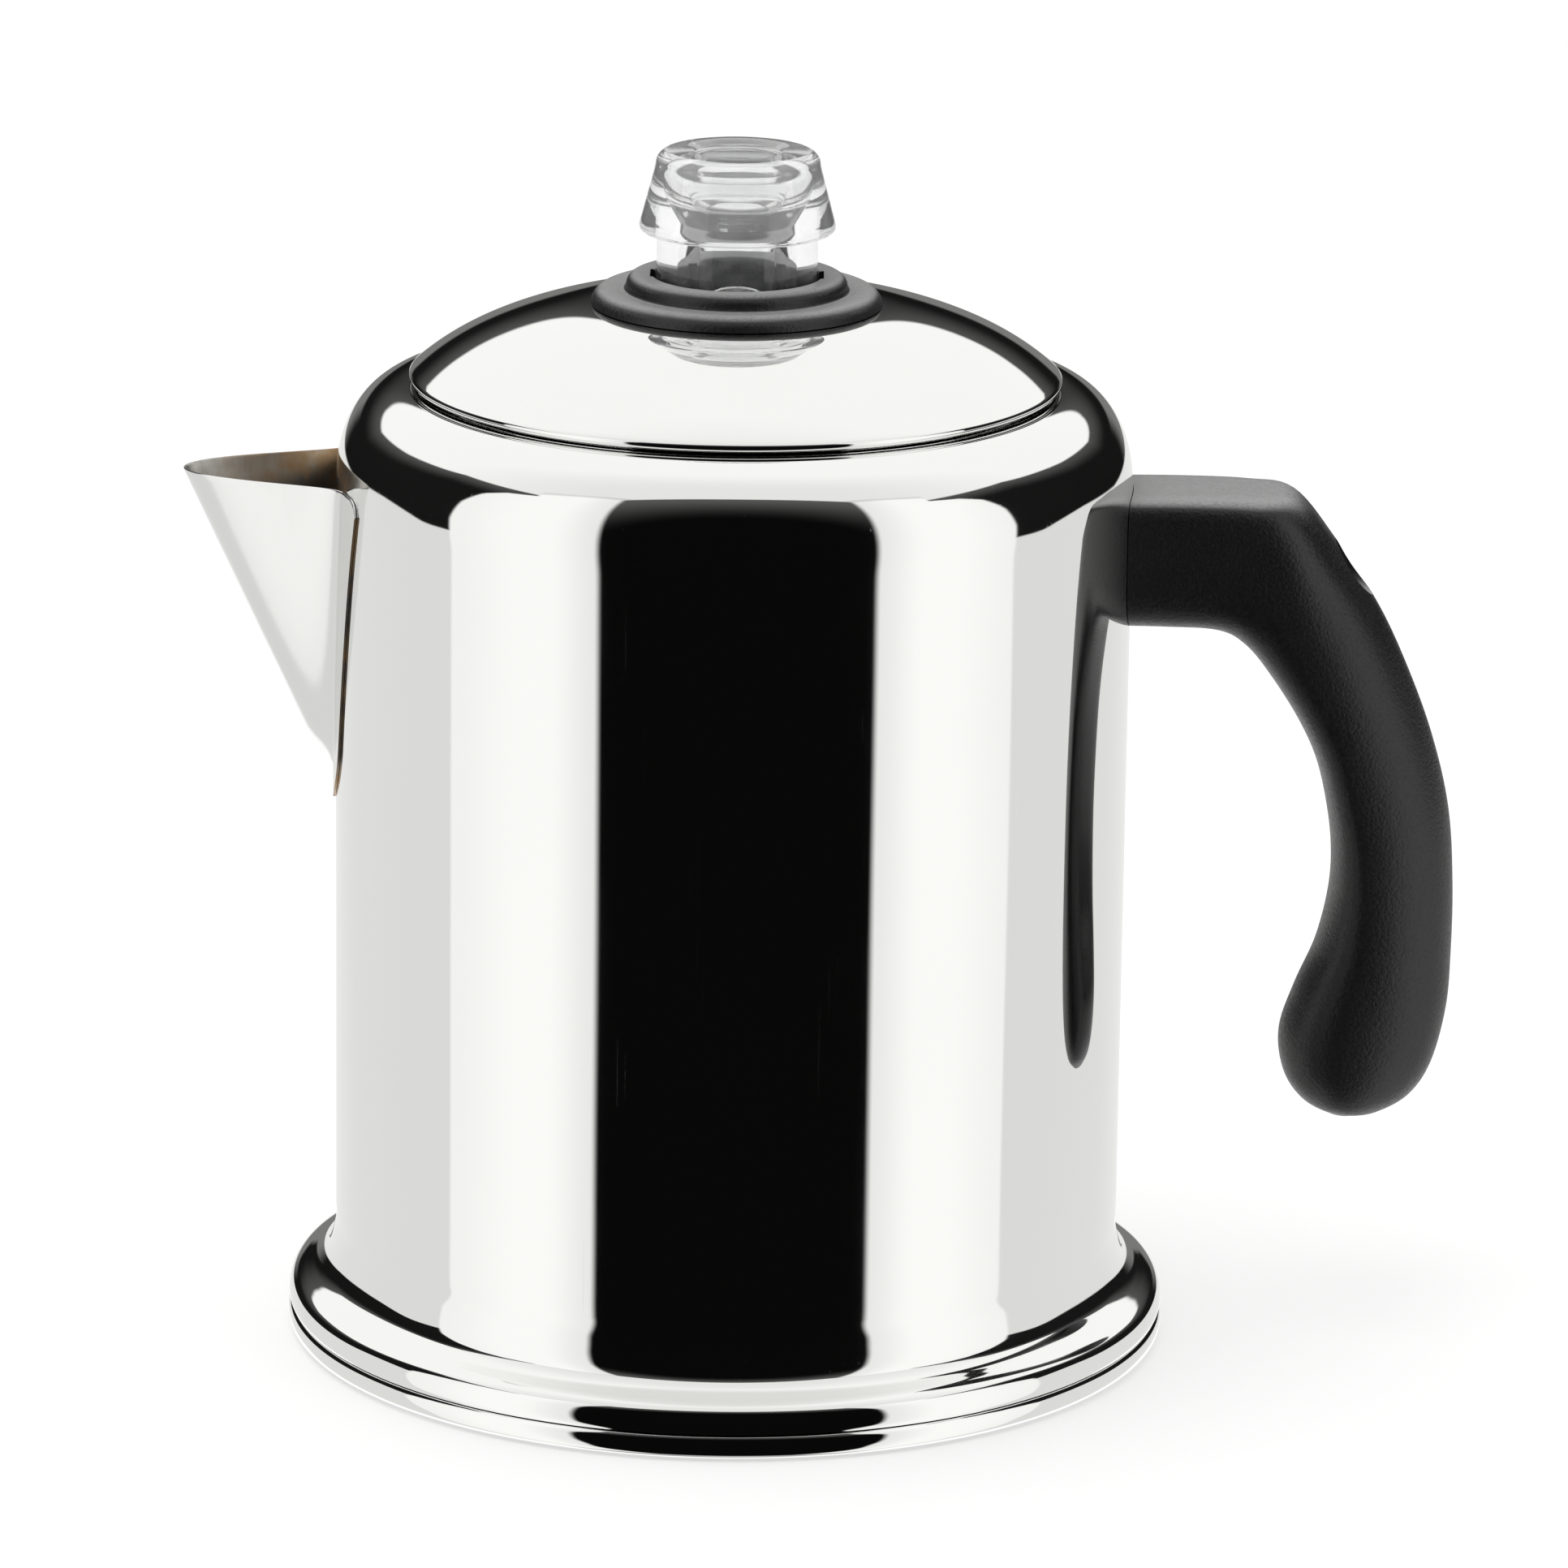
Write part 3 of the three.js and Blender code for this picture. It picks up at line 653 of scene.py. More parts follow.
def pot_outline():
    skin = [(76.5, 4.7), (78.9, 4.6)]
    wall_start = (BODY_R, FOOT_TOP_Z + 3)
    skin += spline(FOOT + [wall_start], 5)[:-1]
    skin += straight(wall_start, (BODY_R, SHOULDER_Z), 60)
    skin += shoulder()
    neck_bend = SHOULDER_R - NECK_R
    skin += arc(SHOULDER_R, SHOULDER_TOP_Z - neck_bend, neck_bend, 90, 180, 6)
    skin += [(NECK_R, 171.5), (NECK_R, NECK_BOTTOM_Z)]
    return thick(skin, SHEET)


def hand_finished(piece):
    """The shallow unevenness that a spun and polished wall has."""
    depth = 0.035
    for vertex in piece.data.vertices:
        spot = vertex.co / MM
        radius = math.hypot(spot.x, spot.y)
        if radius < 60 or spot.z < FOOT_TOP_Z:
            continue
        fade = min(1.0, (spot.z - FOOT_TOP_Z) / 15) * min(1.0, max(0.0, (SHOULDER_Z - spot.z) / 12))
        around = Vector((spot.x / 26, spot.y / 26, spot.z / 60))
        shift = depth * fade * noise.noise(around)
        vertex.co.x += spot.x / radius * shift * MM
        vertex.co.y += spot.y / radius * shift * MM


def spout_opening():
    """The hole in the wall behind the spout, as a prism along X."""
    half = [(17, LIP_Z - 1.5), (7, 116), (5.2, 113.8), (2.7, 113), (0, 113)]
    outline = half + [(-y, z) for y, z in reversed(half[:-1])]
    tool = prism("spout_opening", outline, -BODY_R - 5, -BODY_R + 20)
    for vertex in tool.data.vertices:
        y, z, x = vertex.co
        vertex.co = (x, y, z)
    clean(tool)
    return tool


def make_pot():
    body = turned("pot_body", pot_outline())
    hand_finished(body)
    cut(body, spout_opening())
    finish(body, STEEL, "pot", "steel_polished", "body_shell")

    pan = turned("base_rim", pan_outline())
    finish(pan, STEEL, "pot", "steel_polished", "base_pan")


def pan_outline():
    """The base: a flat floor whose rolled rim stands under the foot."""
    bead = [(77.2, 0.0), (78.5, 0.24), (79.3, 0.9), (79.6, 1.85), (RIM_R - 0.05, 2.8), (79.5, 3.7)]
    rim = spline(bead + [(79.1, 4.32)], 5)
    inside = spline([(79.0, 4.38), (78.2, 4.4), (76.5, 4.1), (74.8, 2.6), (73, 1.3)], 4)
    return [(0, 0), (60, 0)] + rim + inside + [(60, 1.2), (0, 1.2)]


# ------ spout

def nose_reach(z):
    """How far the spout's nose stands out of its welded edge at height z."""
    if z <= SPOUT_CHANNEL_Z:
        return 0.0
    below = max(0.0, 1 - (z - SPOUT_CHANNEL_Z) / SPOUT_CHANNEL_ROUND)
    return (SPOUT_NOSE - (LIP_Z - z) * SPOUT_SLOPE) * math.sqrt(1 - below ** 2)


def edge_half_width(z):
    """Half the width of the welded flange at height z."""
    width = SPOUT_EDGE_TOP - (LIP_Z - z) * SPOUT_EDGE_SLOPE
    below = (SPOUT_BOTTOM_Z + SPOUT_EDGE_ROUND - z) / SPOUT_EDGE_ROUND
    return width * math.sqrt(1 - min(below, 0.985) ** 2) if below > 0 else width


def channel_share(share):
    """How much of the nose's reach the channel has at a share of the flange's width."""
    inside = abs(share) / SPOUT_FLARE_SHARE
    return math.cos(math.pi / 2 * inside) ** 2 if inside < 1 else 0.0


def spout_point(share, z, inset):
    """A point of the spout: share runs from -1 to 1 across it."""
    half = edge_half_width(z)
    across = half * share
    reach = (nose_reach(z) + SPOUT_LIFT * min(1.0, nose_reach(z) / 4)) * channel_share(share)
    radius = BODY_R + SPOUT_SEAM + SPOUT_SHEET - inset + reach
    angle = across / BODY_R
    corner = max(0.0, abs(across) - half + SPOUT_CORNER)
    drop = SPOUT_CORNER - math.sqrt(SPOUT_CORNER ** 2 - corner ** 2)
    near_lip = max(0.0, 1 - (LIP_Z - z) / 25)
    return (-radius * math.cos(angle), radius * math.sin(angle), z - drop * near_lip ** 2)


def make_spout():
    columns = 96
    round_rows, upper_rows = 26, 44
    round_top, lip_start = SPOUT_BOTTOM_Z + SPOUT_EDGE_ROUND, LIP_Z - 0.3
    heights = [SPOUT_BOTTOM_Z + SPOUT_EDGE_ROUND * (i / round_rows) ** 1.7 for i in range(round_rows)]
    heights += [z for _, z in straight((0, round_top), (0, lip_start), upper_rows)]
    heights += [lip_start]
    rings = [spout_ring(z, 0.0, columns) for z in heights]
    # The lip is rounded over: the last two rings close in on the middle of the sheet.
    rings += [spout_ring(LIP_Z - 0.1, 0.08, columns), spout_ring(LIP_Z, 0.2, columns)]
    piece = grid("pouring_spout", rings, closed_ends=False)
    close_strip(piece, rings, columns)
    finish(piece, FORMED, "pot", "steel_polished", "spout")
    piece.data.materials.append(STAINED)
    for face in piece.data.polygons:
        spot = face.center / MM
        radius = math.hypot(spot.x, spot.y)
        towards_pot = spot.x * face.normal.x + spot.y * face.normal.y < 0
        if towards_pot and radius > BODY_R + SPOUT_SEAM + 0.4 or is_flange_edge(face):
            face.material_index = 1


def spout_ring(z, inset, columns):
    """Both skins of the sheet at height z: across the outside and back along the inside."""
    shares = [2 * i / columns - 1 for i in range(columns + 1)]
    outer = [spout_point(share, z, inset) for share in shares]
    inner = [spout_point(share, z, SPOUT_SHEET - inset) for share in shares]
    return outer + inner[::-1]


def is_flange_edge(face):
    """Whether a face of the spout is the sheared edge of its flange."""
    spot = face.center / MM
    outward = (spot.x * face.normal.x + spot.y * face.normal.y) / math.hypot(spot.x, spot.y)
    return abs(outward) < 0.3 and math.hypot(spot.x, spot.y) < BODY_R + 1 and spot.z < LIP_Z - 3


def close_strip(piece, rings, columns):
    """Closes the bottom and top edges between the two skins."""
    size = 2 * (columns + 1)
    strips = []
    for ring in (rings[0], rings[-1]):
        for i in range(columns):
            strips.append([ring[i], ring[i + 1], ring[size - 2 - i], ring[size - 1 - i]])
    vertices = [point for strip in strips for point in strip]
    faces = [[4 * k, 4 * k + 1, 4 * k + 2, 4 * k + 3] for k in range(len(strips))]
    join(piece, add_piece("strip", vertices, faces))
    clean(piece)
    shade(piece)


# ------ handle

# Station by station: outer edge (x, z), inner edge (x, z), half depth, then the section: where
# it is deepest, as a share from the inner edge, and its roundness outside and inside of that.
HANDLE = [
    (67, 156.7, 67, 132.2, 13, 0.5, 7.0, 3.2), (80, 156.8, 77, 132.1, 13, 0.5, 6.8, 3.2),
    (92, 156.6, 86.5, 131.6, 13, 0.48, 5.8, 3.2), (100.2, 155.6, 91.5, 128.9, 13, 0.42, 3.7, 3.1),
    (107.5, 147.3, 96, 123.5, 13, 0.36, 2.6, 2.9), (115.5, 135.5, 101.2, 115.5, 12.8, 0.31, 2.2, 2.8),
    (121.3, 123.5, 104.9, 107.6, 12.6, 0.28, 2.05, 2.6), (126, 111, 107.2, 98.5, 12.5, 0.27, 2.0, 2.5),
    (129.2, 98, 108.3, 90, 12.5, 0.28, 2.0, 2.4), (130.38, 84, 108.0, 82, 12.6, 0.31, 2.0, 2.35),
    (130.45, 71, 105.9, 72.6, 12.8, 0.35, 2.05, 2.3), (129.9, 61, 102.3, 64, 13, 0.38, 2.1, 2.25),
    (127.6, 51, 99.8, 56, 12.8, 0.41, 2.1, 2.2), (124, 45, 100.6, 49, 11.5, 0.43, 2.1, 2.15),
    (118.8, 41.8, 103.6, 44.2, 8.8, 0.46, 2.1, 2.1), (114.5, 40.8, 108.2, 41.4, 4.5, 0.48, 2.1, 2.1),
]
HANDLE_SEAM = 0.08               # gap between the handle's neck and the pot


def signed_power(value, power):
    """A power that keeps the value's sign."""
    return math.copysign(abs(value) ** power, value)


def handle_ring(station, shrink=1.0, sink=0.0):
    """One section of the handle: two half superellipses that meet where it is deepest."""
    corners = 128
    outer_x, outer_z, inner_x, inner_z, depth, widest, outer_power, inner_power = station
    inner = Vector((inner_x, 0, inner_z))
    across = Vector((outer_x - inner_x, 0, outer_z - inner_z))
    ring = []
    for j in range(corners):
        angle = 2 * math.pi * j / corners
        outside = math.cos(angle) > 0
        power = 2 / (outer_power if outside else inner_power)
        reach = 1 - widest if outside else widest
        out = widest + reach * signed_power(math.cos(angle), power)
        side = signed_power(math.sin(angle), power)
        point = inner + across * (0.5 + (out - 0.5) * shrink)
        ring.append((point.x, depth * shrink * side, point.z - sink))
    return ring


def handle_blank():
    """The solid handle, its lower end closed by a shallow rounded cap."""
    stations = spline(HANDLE, 7)
    rings = [handle_ring(station) for station in stations]
    cap_steps, cap_height = 8, 0.35
    for step in range(1, cap_steps):
        angle = math.pi / 2 * step / cap_steps
        rings.append(handle_ring(stations[-1], math.cos(angle), cap_height * math.sin(angle)))
    return grid("side_handle", rings)


def make_handle():
    handle = handle_blank()
    pot_space = turned("pot_space", rod_outline(BODY_R + HANDLE_SEAM, 100, 180))
    below, above = low("handle_bracket").z - 1, high("handle_bracket").z + 1
    pocket_end, pocket_half = high("handle_bracket").x + 1, 9.5
    pocket = box("pocket", 60, -pocket_half, below, pocket_end, pocket_half, above)
    hole = lay_along_x(turned("hole", rod_outline(SCREW_R + 0.5, 80, 110), 48), HANDLE_Z)
    recess = lay_along_x(turned("recess", rod_outline(5.0, SCREW_SEAT_X, 125), 64), HANDLE_Z)
    cut(handle, pot_space, pocket, hole, recess)
    finish(handle, BLACK, "pot", "black_phenolic", "handle_grip")

    make_screw()
    for node in ("handle_bracket", "handle_nut", "lock_washer"):
        NODES[node].material_slots[0].material = SATIN


def rod_outline(radius, start, end):
    """Outline of a plain round rod about the axis."""
    return [(0, start), (radius, start), (radius, end), (0, end)]


def make_screw():
    """Pan-head machine screw with a cross recess."""
    under = high("lock_washer").x + GAP
    head = [(4.2, under), (4.2, under + 1.2)]
    head += arc(2.9, under + 1.2, 1.3, 0, 70, 6) + [(1.6, under + 2.75), (0, under + 2.8)]
    tip = low("handle_screw").x
    shank = [(0, tip), (SCREW_R - 0.5, tip), (SCREW_R, tip + 0.6)]
    screw = turned("screw", shank + [(SCREW_R, under)] + head, 64)
    for half_x, half_y in ((2.3, 0.42), (0.42, 2.3)):
        cut(screw, box("slot", -half_x, -half_y, under + 1.3, half_x, half_y, under + 4))
    lay_along_x(screw, HANDLE_Z)
    finish(screw, SATIN, "pot", "steel_satin", "handle_screw")


# ------ lid, collar and knob

def dome(radius, rim_r, steps):
    """The dome's arc from the edge of the flat out to the radius rim_r."""
    end = math.degrees(math.acos((rim_r - DOME_FLAT_R) / radius))
    return arc(DOME_FLAT_R, DOME_Z - DOME_RADIUS, radius, 90, end, steps)


def lid_sag(r):
    """The dome is slightly flatter on its way down to the rim than a true arc."""
    share = (r - DOME_FLAT_R) / (LID_RIM_R - DOME_FLAT_R)
    return 0.3 * math.sin(math.pi * min(1.0, max(0.0, share))) ** 2


def make_lid():
    rim = [(LID_RIM_R + 0.35, 176.3), (LID_RIM_R + 0.4, 175.7), (57.5, 175.05), (57.0, 174.95)]
    outside = [(r, z - lid_sag(r)) for r, z in dome(DOME_RADIUS, LID_RIM_R, 48)]
    outside += spline(rim, 3)
    skirt = [(SKIRT_R, 174.9), (SKIRT_R, 172), (SKIRT_R, SKIRT_BOTTOM_Z)]
    inner_skirt = [(SKIRT_R - LID_SHEET, SKIRT_BOTTOM_Z), (SKIRT_R - LID_SHEET, 175.6)]
    inside = dome(DOME_RADIUS - LID_SHEET, SKIRT_R, 24)[::-1]
    start = straight((LID_HOLE_R, DOME_Z), (DOME_FLAT_R, DOME_Z), 4)
    outline = start + outside + skirt + inner_skirt + inside
    outline += [(LID_HOLE_R, DOME_Z - LID_SHEET)]
    lid = turned("lid_dome", outline)
    finish(lid, STEEL, "lid", "steel_polished", "lid_shell")

    retainer_top = high("collar_retainer").z
    ring = rounded([
        (18.5, retainer_top - 1), (22.5, retainer_top - 1), (22.5, retainer_top), (18.5, retainer_top),
    ])
    retainer = turned("collar_ring", ring, SMALL_TURNS)
    finish(retainer, SATIN, "lid", "steel_satin", "collar_retainer")


def make_collar():
    seat = DOME_Z + GAP
    sleeve = LID_HOLE_R - 0.4
    bore = KNOB_NECK_R + 0.5
    # Below, the sleeve is bored wider, which leaves room for the knob's lugs.
    foot = low("knob_collar").z
    outline = [(bore, foot + 2), (17.3, foot + 2), (17.3, foot), (sleeve, foot)]
    outline += [(sleeve, seat), (25.5, 189.06)]
    outline += arc(23.2, 189.1, 2.65, 0, 85, 16)
    outline += [(21.9, 191.7), (20.7, 191.6)] + arc(20.3, 192.05, 0.5, -90, -170, 4)
    outline += arc(17.6, 192.3, 2.05, 0, 90, 14)
    outline += [(16.2, 194.3)] + arc(bore + 0.6, 193.7, 0.6, 90, 180, 4)
    collar = turned("knob_collar_trim", outline, SMALL_TURNS * 2)
    notch_x, notch_y = LUG_R + 0.2, 3.2
    cut(collar, box("notch", -notch_x, -notch_y, foot + 1, notch_x, notch_y, foot + 10))
    finish(collar, BLACK, "lid", "black_phenolic", "knob_collar")


def make_knob():
    top = KNOB_TOP_Z
    outer = [(KNOB_BORE_R, KNOB_BOTTOM_Z), (KNOB_NECK_R, KNOB_BOTTOM_Z), (KNOB_NECK_R, KNOB_CAP_Z)]
    outer += arc(KNOB_NECK_R + 0.7, KNOB_CAP_Z, 0.7, 180, 90, 4)
    outer += arc(16.6, 203.1, 0.8, -90, 15, 6)
    outer += straight((17.4, 203.4), (14.55, top - 2.4), 10)
    outer += arc(12.1, top - 2.5, 2.5, 8, 90, 14)
    outer += [(8.1, top), (7.6, top - 0.3), (7.2, top - 0.35), (0, top - 0.35)]
    inner = [(0, top - 3.6)] + arc(5.9, top - 6.6, 3.0, 90, 0, 10)
    inner += spline([(8.95, 208.8), (8.7, 206.6), (7.8, 204.6), (KNOB_BORE_R, 202.8)], 5)
    knob = turned("clear_knob", outer + inner, 160)
    for turn in (0, 180):
        boolean(knob, lug(turn), "UNION")
    finish(knob, CLEAR, "knob", "clear_plastic", "knob")


def lug(turn):
    """One of the two locking lugs at the bottom of the knob's neck."""
    start = LUG_REST_ANGLE + turn - LUG_HALF_ANGLE
    end = LUG_REST_ANGLE + turn + LUG_HALF_ANGLE
    inside_neck = KNOB_NECK_R - 1.1
    outline = arc(0, 0, LUG_R, start, end, 8) + arc(0, 0, inside_neck, end, start, 8)
    return prism("lug", outline, KNOB_BOTTOM_Z + 0.4, KNOB_BOTTOM_Z + 2.0)


# ------ basket and pump

def make_basket():
    floor_top = BASKET_FLOOR_Z + THIN_SHEET
    floor_r, hub_r = 46.0, 7
    wall = [(floor_r, BASKET_FLOOR_Z)] + arc(47, BASKET_FLOOR_Z + 3, 3, -90, 0, 8)
    wall += straight((BASKET_R, BASKET_FLOOR_Z + 4), (BASKET_R, BASKET_RIM_Z - 1.4), 8)
    wall += arc(BASKET_R + 0.8, BASKET_RIM_Z - 1.4, 0.8, 180, 90, 5)
    wall += [(BASKET_R + 2.4, BASKET_RIM_Z - 0.6)]
    skirt = turned("wall", thick(wall, THIN_SHEET), closed=False)
    lip = turned("lip", [(hub_r, floor_top), (hub_r, BASKET_FLOOR_Z)], closed=False)
    cup = perforated(
        "coffee_basket", hub_r, floor_r, floor_top, THIN_SHEET, hole_r=0.75, pitch=3.6,
        skin=[skirt, lip],
    )
    finish(cup, SATIN, "basket", "steel_satin", "basket_cup")

    foot, top = low("basket_sleeve").z, high("basket_sleeve").z
    bore = STEM_R + 0.6
    outline = rounded([
        (bore, foot), (10, foot), (10, foot + 0.8), (6.4, foot + 0.8), (6.4, top), (bore, top),
    ], 0.2)
    sleeve = turned("basket_tube", outline, SMALL_TURNS)
    finish(sleeve, SATIN, "basket", "steel_satin", "basket_sleeve")


def make_spreader():
    under = low("grounds_spreader").z
    rim_z = BASKET_RIM_Z + GAP
    plate_r, hub_r, thickness = 44.0, 14.5, 0.7
    outside = [(plate_r, under), (45.0, under + 0.3), (46.2, rim_z - 0.4), (47.4, rim_z), (53, rim_z)]
    hub = [
        (hub_r, under), (11.5, under + 0.9), (8.4, under + 3.6), (6.6, under + 6.0),
        (STEM_R + 1.4, rim_z + 4.6),
    ]
    rim = turned("rim", thick(spline(outside, 4), thickness), closed=False)
    collar = turned("collar", thick(spline(hub, 5)[::-1], thickness), closed=False)
    plate = perforated(
        "water_spreader", hub_r, plate_r, under + thickness, thickness, hole_r=0.8, pitch=3.8,
        skin=[rim, collar],
    )
    finish(plate, SATIN, "spreader", "steel_satin", "grounds_spreader")


def make_pump():
    top, bottom = high("stem_tube").z, low("stem_tube").z
    tube = turned("pump_tube", rounded([
        (STEM_R - 0.8, bottom), (STEM_R, bottom), (STEM_R, top), (STEM_R - 0.8, top),
    ]), SMALL_TURNS)
    finish(tube, SATIN, "pump", "steel_satin", "stem_tube")

    bottom, top = low("basket_stop").z, high("basket_stop").z
    stop = turned("basket_seat", rounded([
        (STEM_R + GAP, bottom), (6, bottom), (9.5, top - 1.1), (9.5, top), (STEM_R + GAP, top),
    ]), SMALL_TURNS)
    finish(stop, SATIN, "pump", "steel_satin", "basket_stop")

    throat, top = STEM_R + GAP + SHEET, high("stem_foot").z
    skin = [(29, 1.6), (27.6, 5), (22, 8), (14, 10.6), (8, 12.8), (throat, 15.4), (throat, top)]
    bell = turned("pump_bell", thick(spline(skin, 7), SHEET), SMALL_TURNS * 2)
    cut(bell, *(foot_slot(degrees) for degrees in (0, 60, 120)))
    finish(bell, SATIN, "pump", "steel_satin", "stem_foot")

    cage = turned("valve_cup", rounded([
        (3, 2.2), (9.5, 2.2), (9.5, 10.9), (8.7, 11.2), (8.7, 6.4), (6.2, 6.4), (6.2, 5.7),
        (8.7, 5.7), (8.7, 3), (3, 3),
    ], 0.2), SMALL_TURNS)
    finish(cage, SATIN, "pump", "steel_satin", "valve_cage")

    disc_low, disc_high = low("pump_valve").z, high("pump_valve").z
    disc = turned("valve_disc", [
        (0, disc_low), (7.2, disc_low), (7.4, disc_low + 0.2), (7.4, disc_high - 0.2),
        (7.2, disc_high), (0, disc_high),
    ], SMALL_TURNS)
    finish(disc, SATIN, "valve", "steel_satin", "pump_valve")


def foot_slot(degrees):
    """A tool that cuts two opposite water slots in the bell's lower edge."""
    tool = box("foot_slot", -32, -2.2, 0.5, 32, 2.2, 3.4)
    cosine, sine = math.cos(math.radians(degrees)), math.sin(math.radians(degrees))
    for vertex in tool.data.vertices:
        x, y, z = vertex.co
        vertex.co = (x * cosine - y * sine, x * sine + y * cosine, z)
    return tool


# ------ studio

PANEL_R = 550.0                  # radius of the reflected ring of panels
PANEL_REAR_STRETCH = 9.0         # the studio's back wall is that many radii farther
PANEL_LOW_Z = -1750.0            # low enough for what the wall reflects at its edges
PANEL_TOP_Z = 980.0
BLACK_HALF = 37.6                # half width of the black card in front, in degrees
BLACK_CENTRE = 1.6               # degrees
BLACK_TOP_Z = 868.0              # its top edge in the middle
BLACK_TOP_DROP = 0.16            # how much lower, per square degree from the middle
SEAM_FRONT_Z = 660.0             # height of the seam under the overhead panel, in front
SEAM_SIDE_Z = 470.0              # and at the sides
WHITE_END = 82.8                 # where the side softboxes end, in degrees

# Behind the softboxes, by azimuth: the tops of the low cards and of the dark room over
# them, as rise over distance from a point in the middle of the pot, and the cards' light.
SIGHT_Z = 100.0
CARD_TOPS = [(84, 0.0), (100, -0.01), (117, -0.04), (140, -0.10), (180, -0.12)]
ROOM_TOPS = [(60, 0.73), (90, 0.69), (120, 0.45), (140, 0.33), (160, 0.36), (180, 0.34)]
CARD_LIGHT = [(85, 0.77), (140, 0.79), (164, 0.85), (180, 0.88)]
# The softboxes' rounded upper corners: the azimuth of their rear edge, by rise.
SOFTBOX_EDGE = [(0.1, WHITE_END), (0.3, 80.5), (0.5, 76.0), (0.62, 70.0), (0.7, 61.0)]


def studio_reflections():
    """The ring of panels that polished metal reflects: a black card in front, a white
    softbox on each side, low white cards and black above them behind, white overhead."""
    outline = [(PANEL_R, PANEL_LOW_Z), (PANEL_R, 0), (PANEL_R, PANEL_TOP_Z)]
    outline += [
        (PANEL_R * 0.75, PANEL_TOP_Z + 190), (PANEL_R * 0.4, PANEL_TOP_Z + 280),
        (0, PANEL_TOP_Z + 310),
    ]
    ring = turned("studio_panels", outline, 96, closed=False)
    for vertex in ring.data.vertices:
        across = math.hypot(vertex.co.x, vertex.co.y)
        behind = max(0.0, vertex.co.y) / max(across, MM)
        vertex.co.x *= 1 + PANEL_REAR_STRETCH * behind ** 2
        vertex.co.y *= 1 + PANEL_REAR_STRETCH * behind ** 2
    made = bpy.data.materials.new("studio_panels")
    made.use_nodes = True
    made.node_tree.nodes.clear()
    nodes = Nodes(made.node_tree)
    emission = nodes.add("ShaderNodeEmission")
    output = nodes.add("ShaderNodeOutputMaterial")
    nodes.link(panel_light(nodes), emission.inputs["Color"])
    nodes.link(emission.outputs[0], output.inputs["Surface"])
    ring.data.materials.append(made)
    ring.visible_camera = False
    ring.visible_diffuse = False
    ring.visible_shadow = False
    ring.visible_transmission = False


def panel_light(nodes):
    """The panels' light by place. The azimuth is 0 in front and 180 degrees behind."""
    x, y, metres = nodes.split(nodes.place())
    z = nodes.math("DIVIDE", metres, MM)
    turn = nodes.math("ARCTAN2", x, nodes.math("MULTIPLY", y, -1.0))
    angle = nodes.math("MULTIPLY", turn, 180 / math.pi)
    side = nodes.math("ABSOLUTE", nodes.math("SUBTRACT", angle, BLACK_CENTRE))
    wide = nodes.math("ABSOLUTE", angle)
    above_sight = nodes.math("SUBTRACT", metres, SIGHT_Z * MM)
    rise = nodes.math("DIVIDE", above_sight, nodes.from_axis(x, y))
    past_edge = nodes.math("SUBTRACT", wide, nodes.table(rise, SOFTBOX_EDGE))
    beyond = nodes.ramp(past_edge, -0.7, 0.7)

    # Side softboxes, brightest in their middle, and the low cards behind them.
    inner = nodes.ramp(side, BLACK_HALF, 52.0, 0.90, 1.06)
    outer = nodes.ramp(side, 60.0, WHITE_END, 1.0, 0.93)
    box_light = nodes.math("MULTIPLY", inner, outer)
    low_light = nodes.mix(beyond, box_light, nodes.table(wide, CARD_LIGHT))
    # The overhead panel is dimmer towards the front.
    overhead = nodes.ramp(y, -0.45, 0.2, 0.86, 1.02)
    lit = below_overhead(nodes, low_light, overhead, z, side, wide)
    lit = with_dark_room(nodes, lit, overhead, rise, wide, beyond)
    value = with_black_card(nodes, lit, z, side)
    return nodes.combine(value, value, nodes.math("MULTIPLY", value, 0.985))


def below_overhead(nodes, low_light, overhead, z, side, wide):
    """The low light under the overhead panel, with a soft seam between them in front."""
    seam_z = nodes.ramp(side, 36.0, 80.0, SEAM_FRONT_Z, SEAM_SIDE_Z)
    over_seam = nodes.math("SUBTRACT", z, seam_z)
    darkness = nodes.ramp(nodes.math("ABSOLUTE", over_seam), 34.0, 0.0, 0.0, 0.28)
    dip = nodes.math("MULTIPLY", darkness, nodes.ramp(wide, 100.0, 86.0))
    lit = nodes.mix(nodes.ramp(over_seam, -10.0, 30.0), low_light, overhead)
    return nodes.math("MULTIPLY", lit, nodes.math("SUBTRACT", 1.0, dip))


def with_dark_room(nodes, lit, overhead, rise, wide, beyond):
    """Behind the softboxes, the dark room over the low cards and the overhead panel over it."""
    above_card = nodes.math("SUBTRACT", rise, nodes.table(wide, CARD_TOPS))
    below_top = nodes.math("SUBTRACT", nodes.table(wide, ROOM_TOPS), rise)
    room = nodes.ramp(below_top, 0.0, 0.2, 0.08, 0.008)
    # Straight behind, a grey wall shows over the card.
    grey = nodes.math("MULTIPLY", nodes.ramp(wide, 152.0, 164.0), nodes.ramp(rise, 0.10, 0.06))
    room = nodes.mix(grey, room, 0.2)
    over_card = nodes.ramp(above_card, -0.007, 0.007)
    in_room = nodes.math("MULTIPLY", over_card, nodes.ramp(below_top, -0.015, 0.015))
    above_room = nodes.math("MULTIPLY", beyond, nodes.ramp(below_top, 0.015, -0.015))
    lit = nodes.mix(above_room, lit, overhead)
    return nodes.mix(nodes.math("MULTIPLY", in_room, beyond), lit, room)


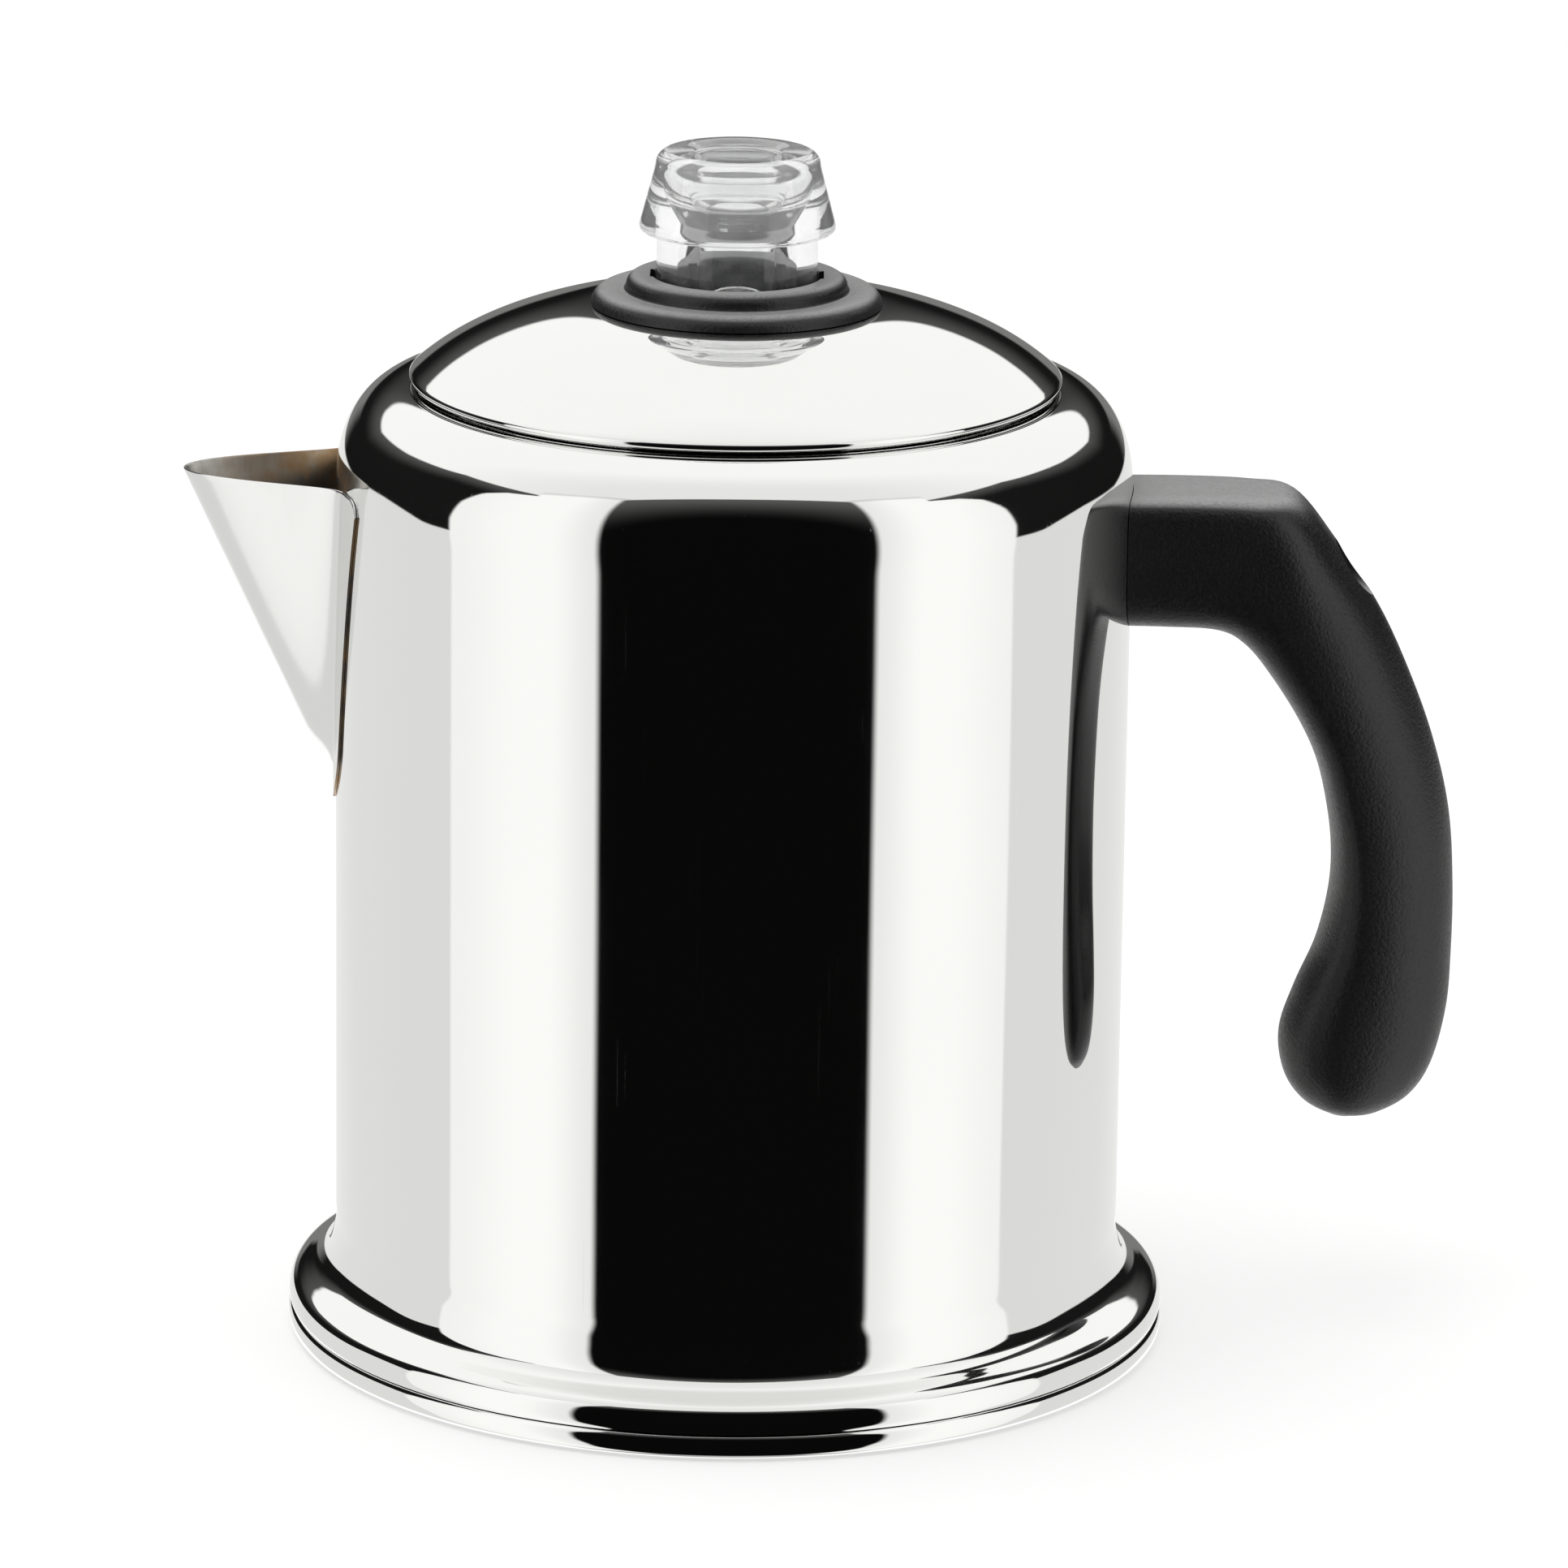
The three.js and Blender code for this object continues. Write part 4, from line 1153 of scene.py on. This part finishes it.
def with_black_card(nodes, lit, z, side):
    """The black card in front, with light creeping in at its top."""
    square = nodes.math("MULTIPLY", side, side)
    card_top = nodes.math("MULTIPLY_ADD", square, -BLACK_TOP_DROP, BLACK_TOP_Z)
    under = nodes.math("SUBTRACT", card_top, z)
    card = nodes.ramp(under, 0.0, 420.0, 0.10, 0.0028)
    inside = nodes.ramp(side, BLACK_HALF + 1.2, BLACK_HALF - 1.2)
    in_card = nodes.math("MULTIPLY", inside, nodes.ramp(under, -12.0, 12.0))
    return nodes.mix(in_card, lit, card)


def make_world():
    """White all round, with a dark card in front that the camera doesn't see."""
    world = bpy.data.worlds.new("studio")
    world.use_nodes = True
    bpy.context.scene.world = world
    nodes = Nodes(world.node_tree)
    background = world.node_tree.nodes["Background"]
    x, y, z = nodes.split(nodes.add("ShaderNodeTexCoord").outputs["Generated"])
    angle = nodes.math("ABSOLUTE", nodes.math("ARCTAN2", x, nodes.math("MULTIPLY", y, -1.0)))
    front = nodes.ramp(angle, math.radians(46), math.radians(36))
    under_top = nodes.ramp(z, 0.84, 0.72)
    dark = nodes.math("MULTIPLY", front, under_top)
    path = nodes.add("ShaderNodeLightPath")
    card = nodes.mix(path.outputs["Is Transmission Ray"], 0.10, 0.78)
    lit = nodes.mix(dark, 1.12, card)
    # Straight below, the pot shades what it stands on.
    lit = nodes.mix(nodes.ramp(z, -0.925, -0.96), lit, 0.42)
    value = nodes.mix(path.outputs["Is Camera Ray"], lit, 0.98)
    nodes.link(value, background.inputs["Color"])


def make_floor():
    """A pale floor for the soft shadow. Polished metal doesn't reflect it."""
    half = 12.0
    corners = [(-half, -half, 0), (half, -half, 0), (half, half, 0), (-half, half, 0)]
    mesh = bpy.data.meshes.new("floor")
    mesh.from_pydata(corners, [], [(0, 1, 2, 3)])
    floor = bpy.data.objects.new("floor", mesh)
    bpy.context.scene.collection.objects.link(floor)
    floor.location.z = -0.0002
    made, _, _ = material(
        "pale_floor", Base_Color=(0.52, 0.52, 0.517, 1), Roughness=0.9, Specular_IOR_Level=0.1,
        Emission_Color=(1, 1, 1, 1), Emission_Strength=0.48,
    )
    floor.data.materials.append(made)
    floor.visible_glossy = False


def make_key_light():
    light = bpy.data.lights.new("overhead_softbox", "AREA")
    light.shape = "DISK"
    light.size = 1.2
    light.energy = 6.0
    key = bpy.data.objects.new("overhead_softbox", light)
    key.location = (-0.25, -0.35, 1.5)
    key.rotation_euler = (Vector((0, 0, 0.1)) - key.location).to_track_quat("-Z", "Y").to_euler()
    key.visible_glossy = False
    key.visible_transmission = False
    bpy.context.scene.collection.objects.link(key)


# The photo's view, fitted to the ellipses of the lid and the foot and to the body's outline.
CAMERA_PLACE = (0.00953, -1.5, 0.510)
CAMERA_LENS = 198.4
CAMERA_PITCH = 15.26             # degrees down
CAMERA_ROLL = 0.767              # degrees


def make_camera():
    data = bpy.data.cameras.new("camera")
    data.sensor_width = 36.0
    data.lens = CAMERA_LENS
    data.clip_start = 0.05
    data.clip_end = 60.0
    camera = bpy.data.objects.new("camera", data)
    pitch, roll = math.radians(90 - CAMERA_PITCH), math.radians(CAMERA_ROLL)
    camera.location = CAMERA_PLACE
    camera.rotation_mode = "QUATERNION"
    camera.rotation_quaternion = Quaternion((1, 0, 0), pitch) @ Quaternion((0, 0, 1), roll)
    bpy.context.scene.collection.objects.link(camera)
    bpy.context.scene.camera = camera


make_camera()
make_world()
make_floor()
make_key_light()
studio_reflections()
make_pot()
make_spout()
make_handle()
make_lid()
make_collar()
make_knob()
make_basket()
make_spreader()
make_pump()

bpy.context.scene.view_settings.view_transform = "Standard"
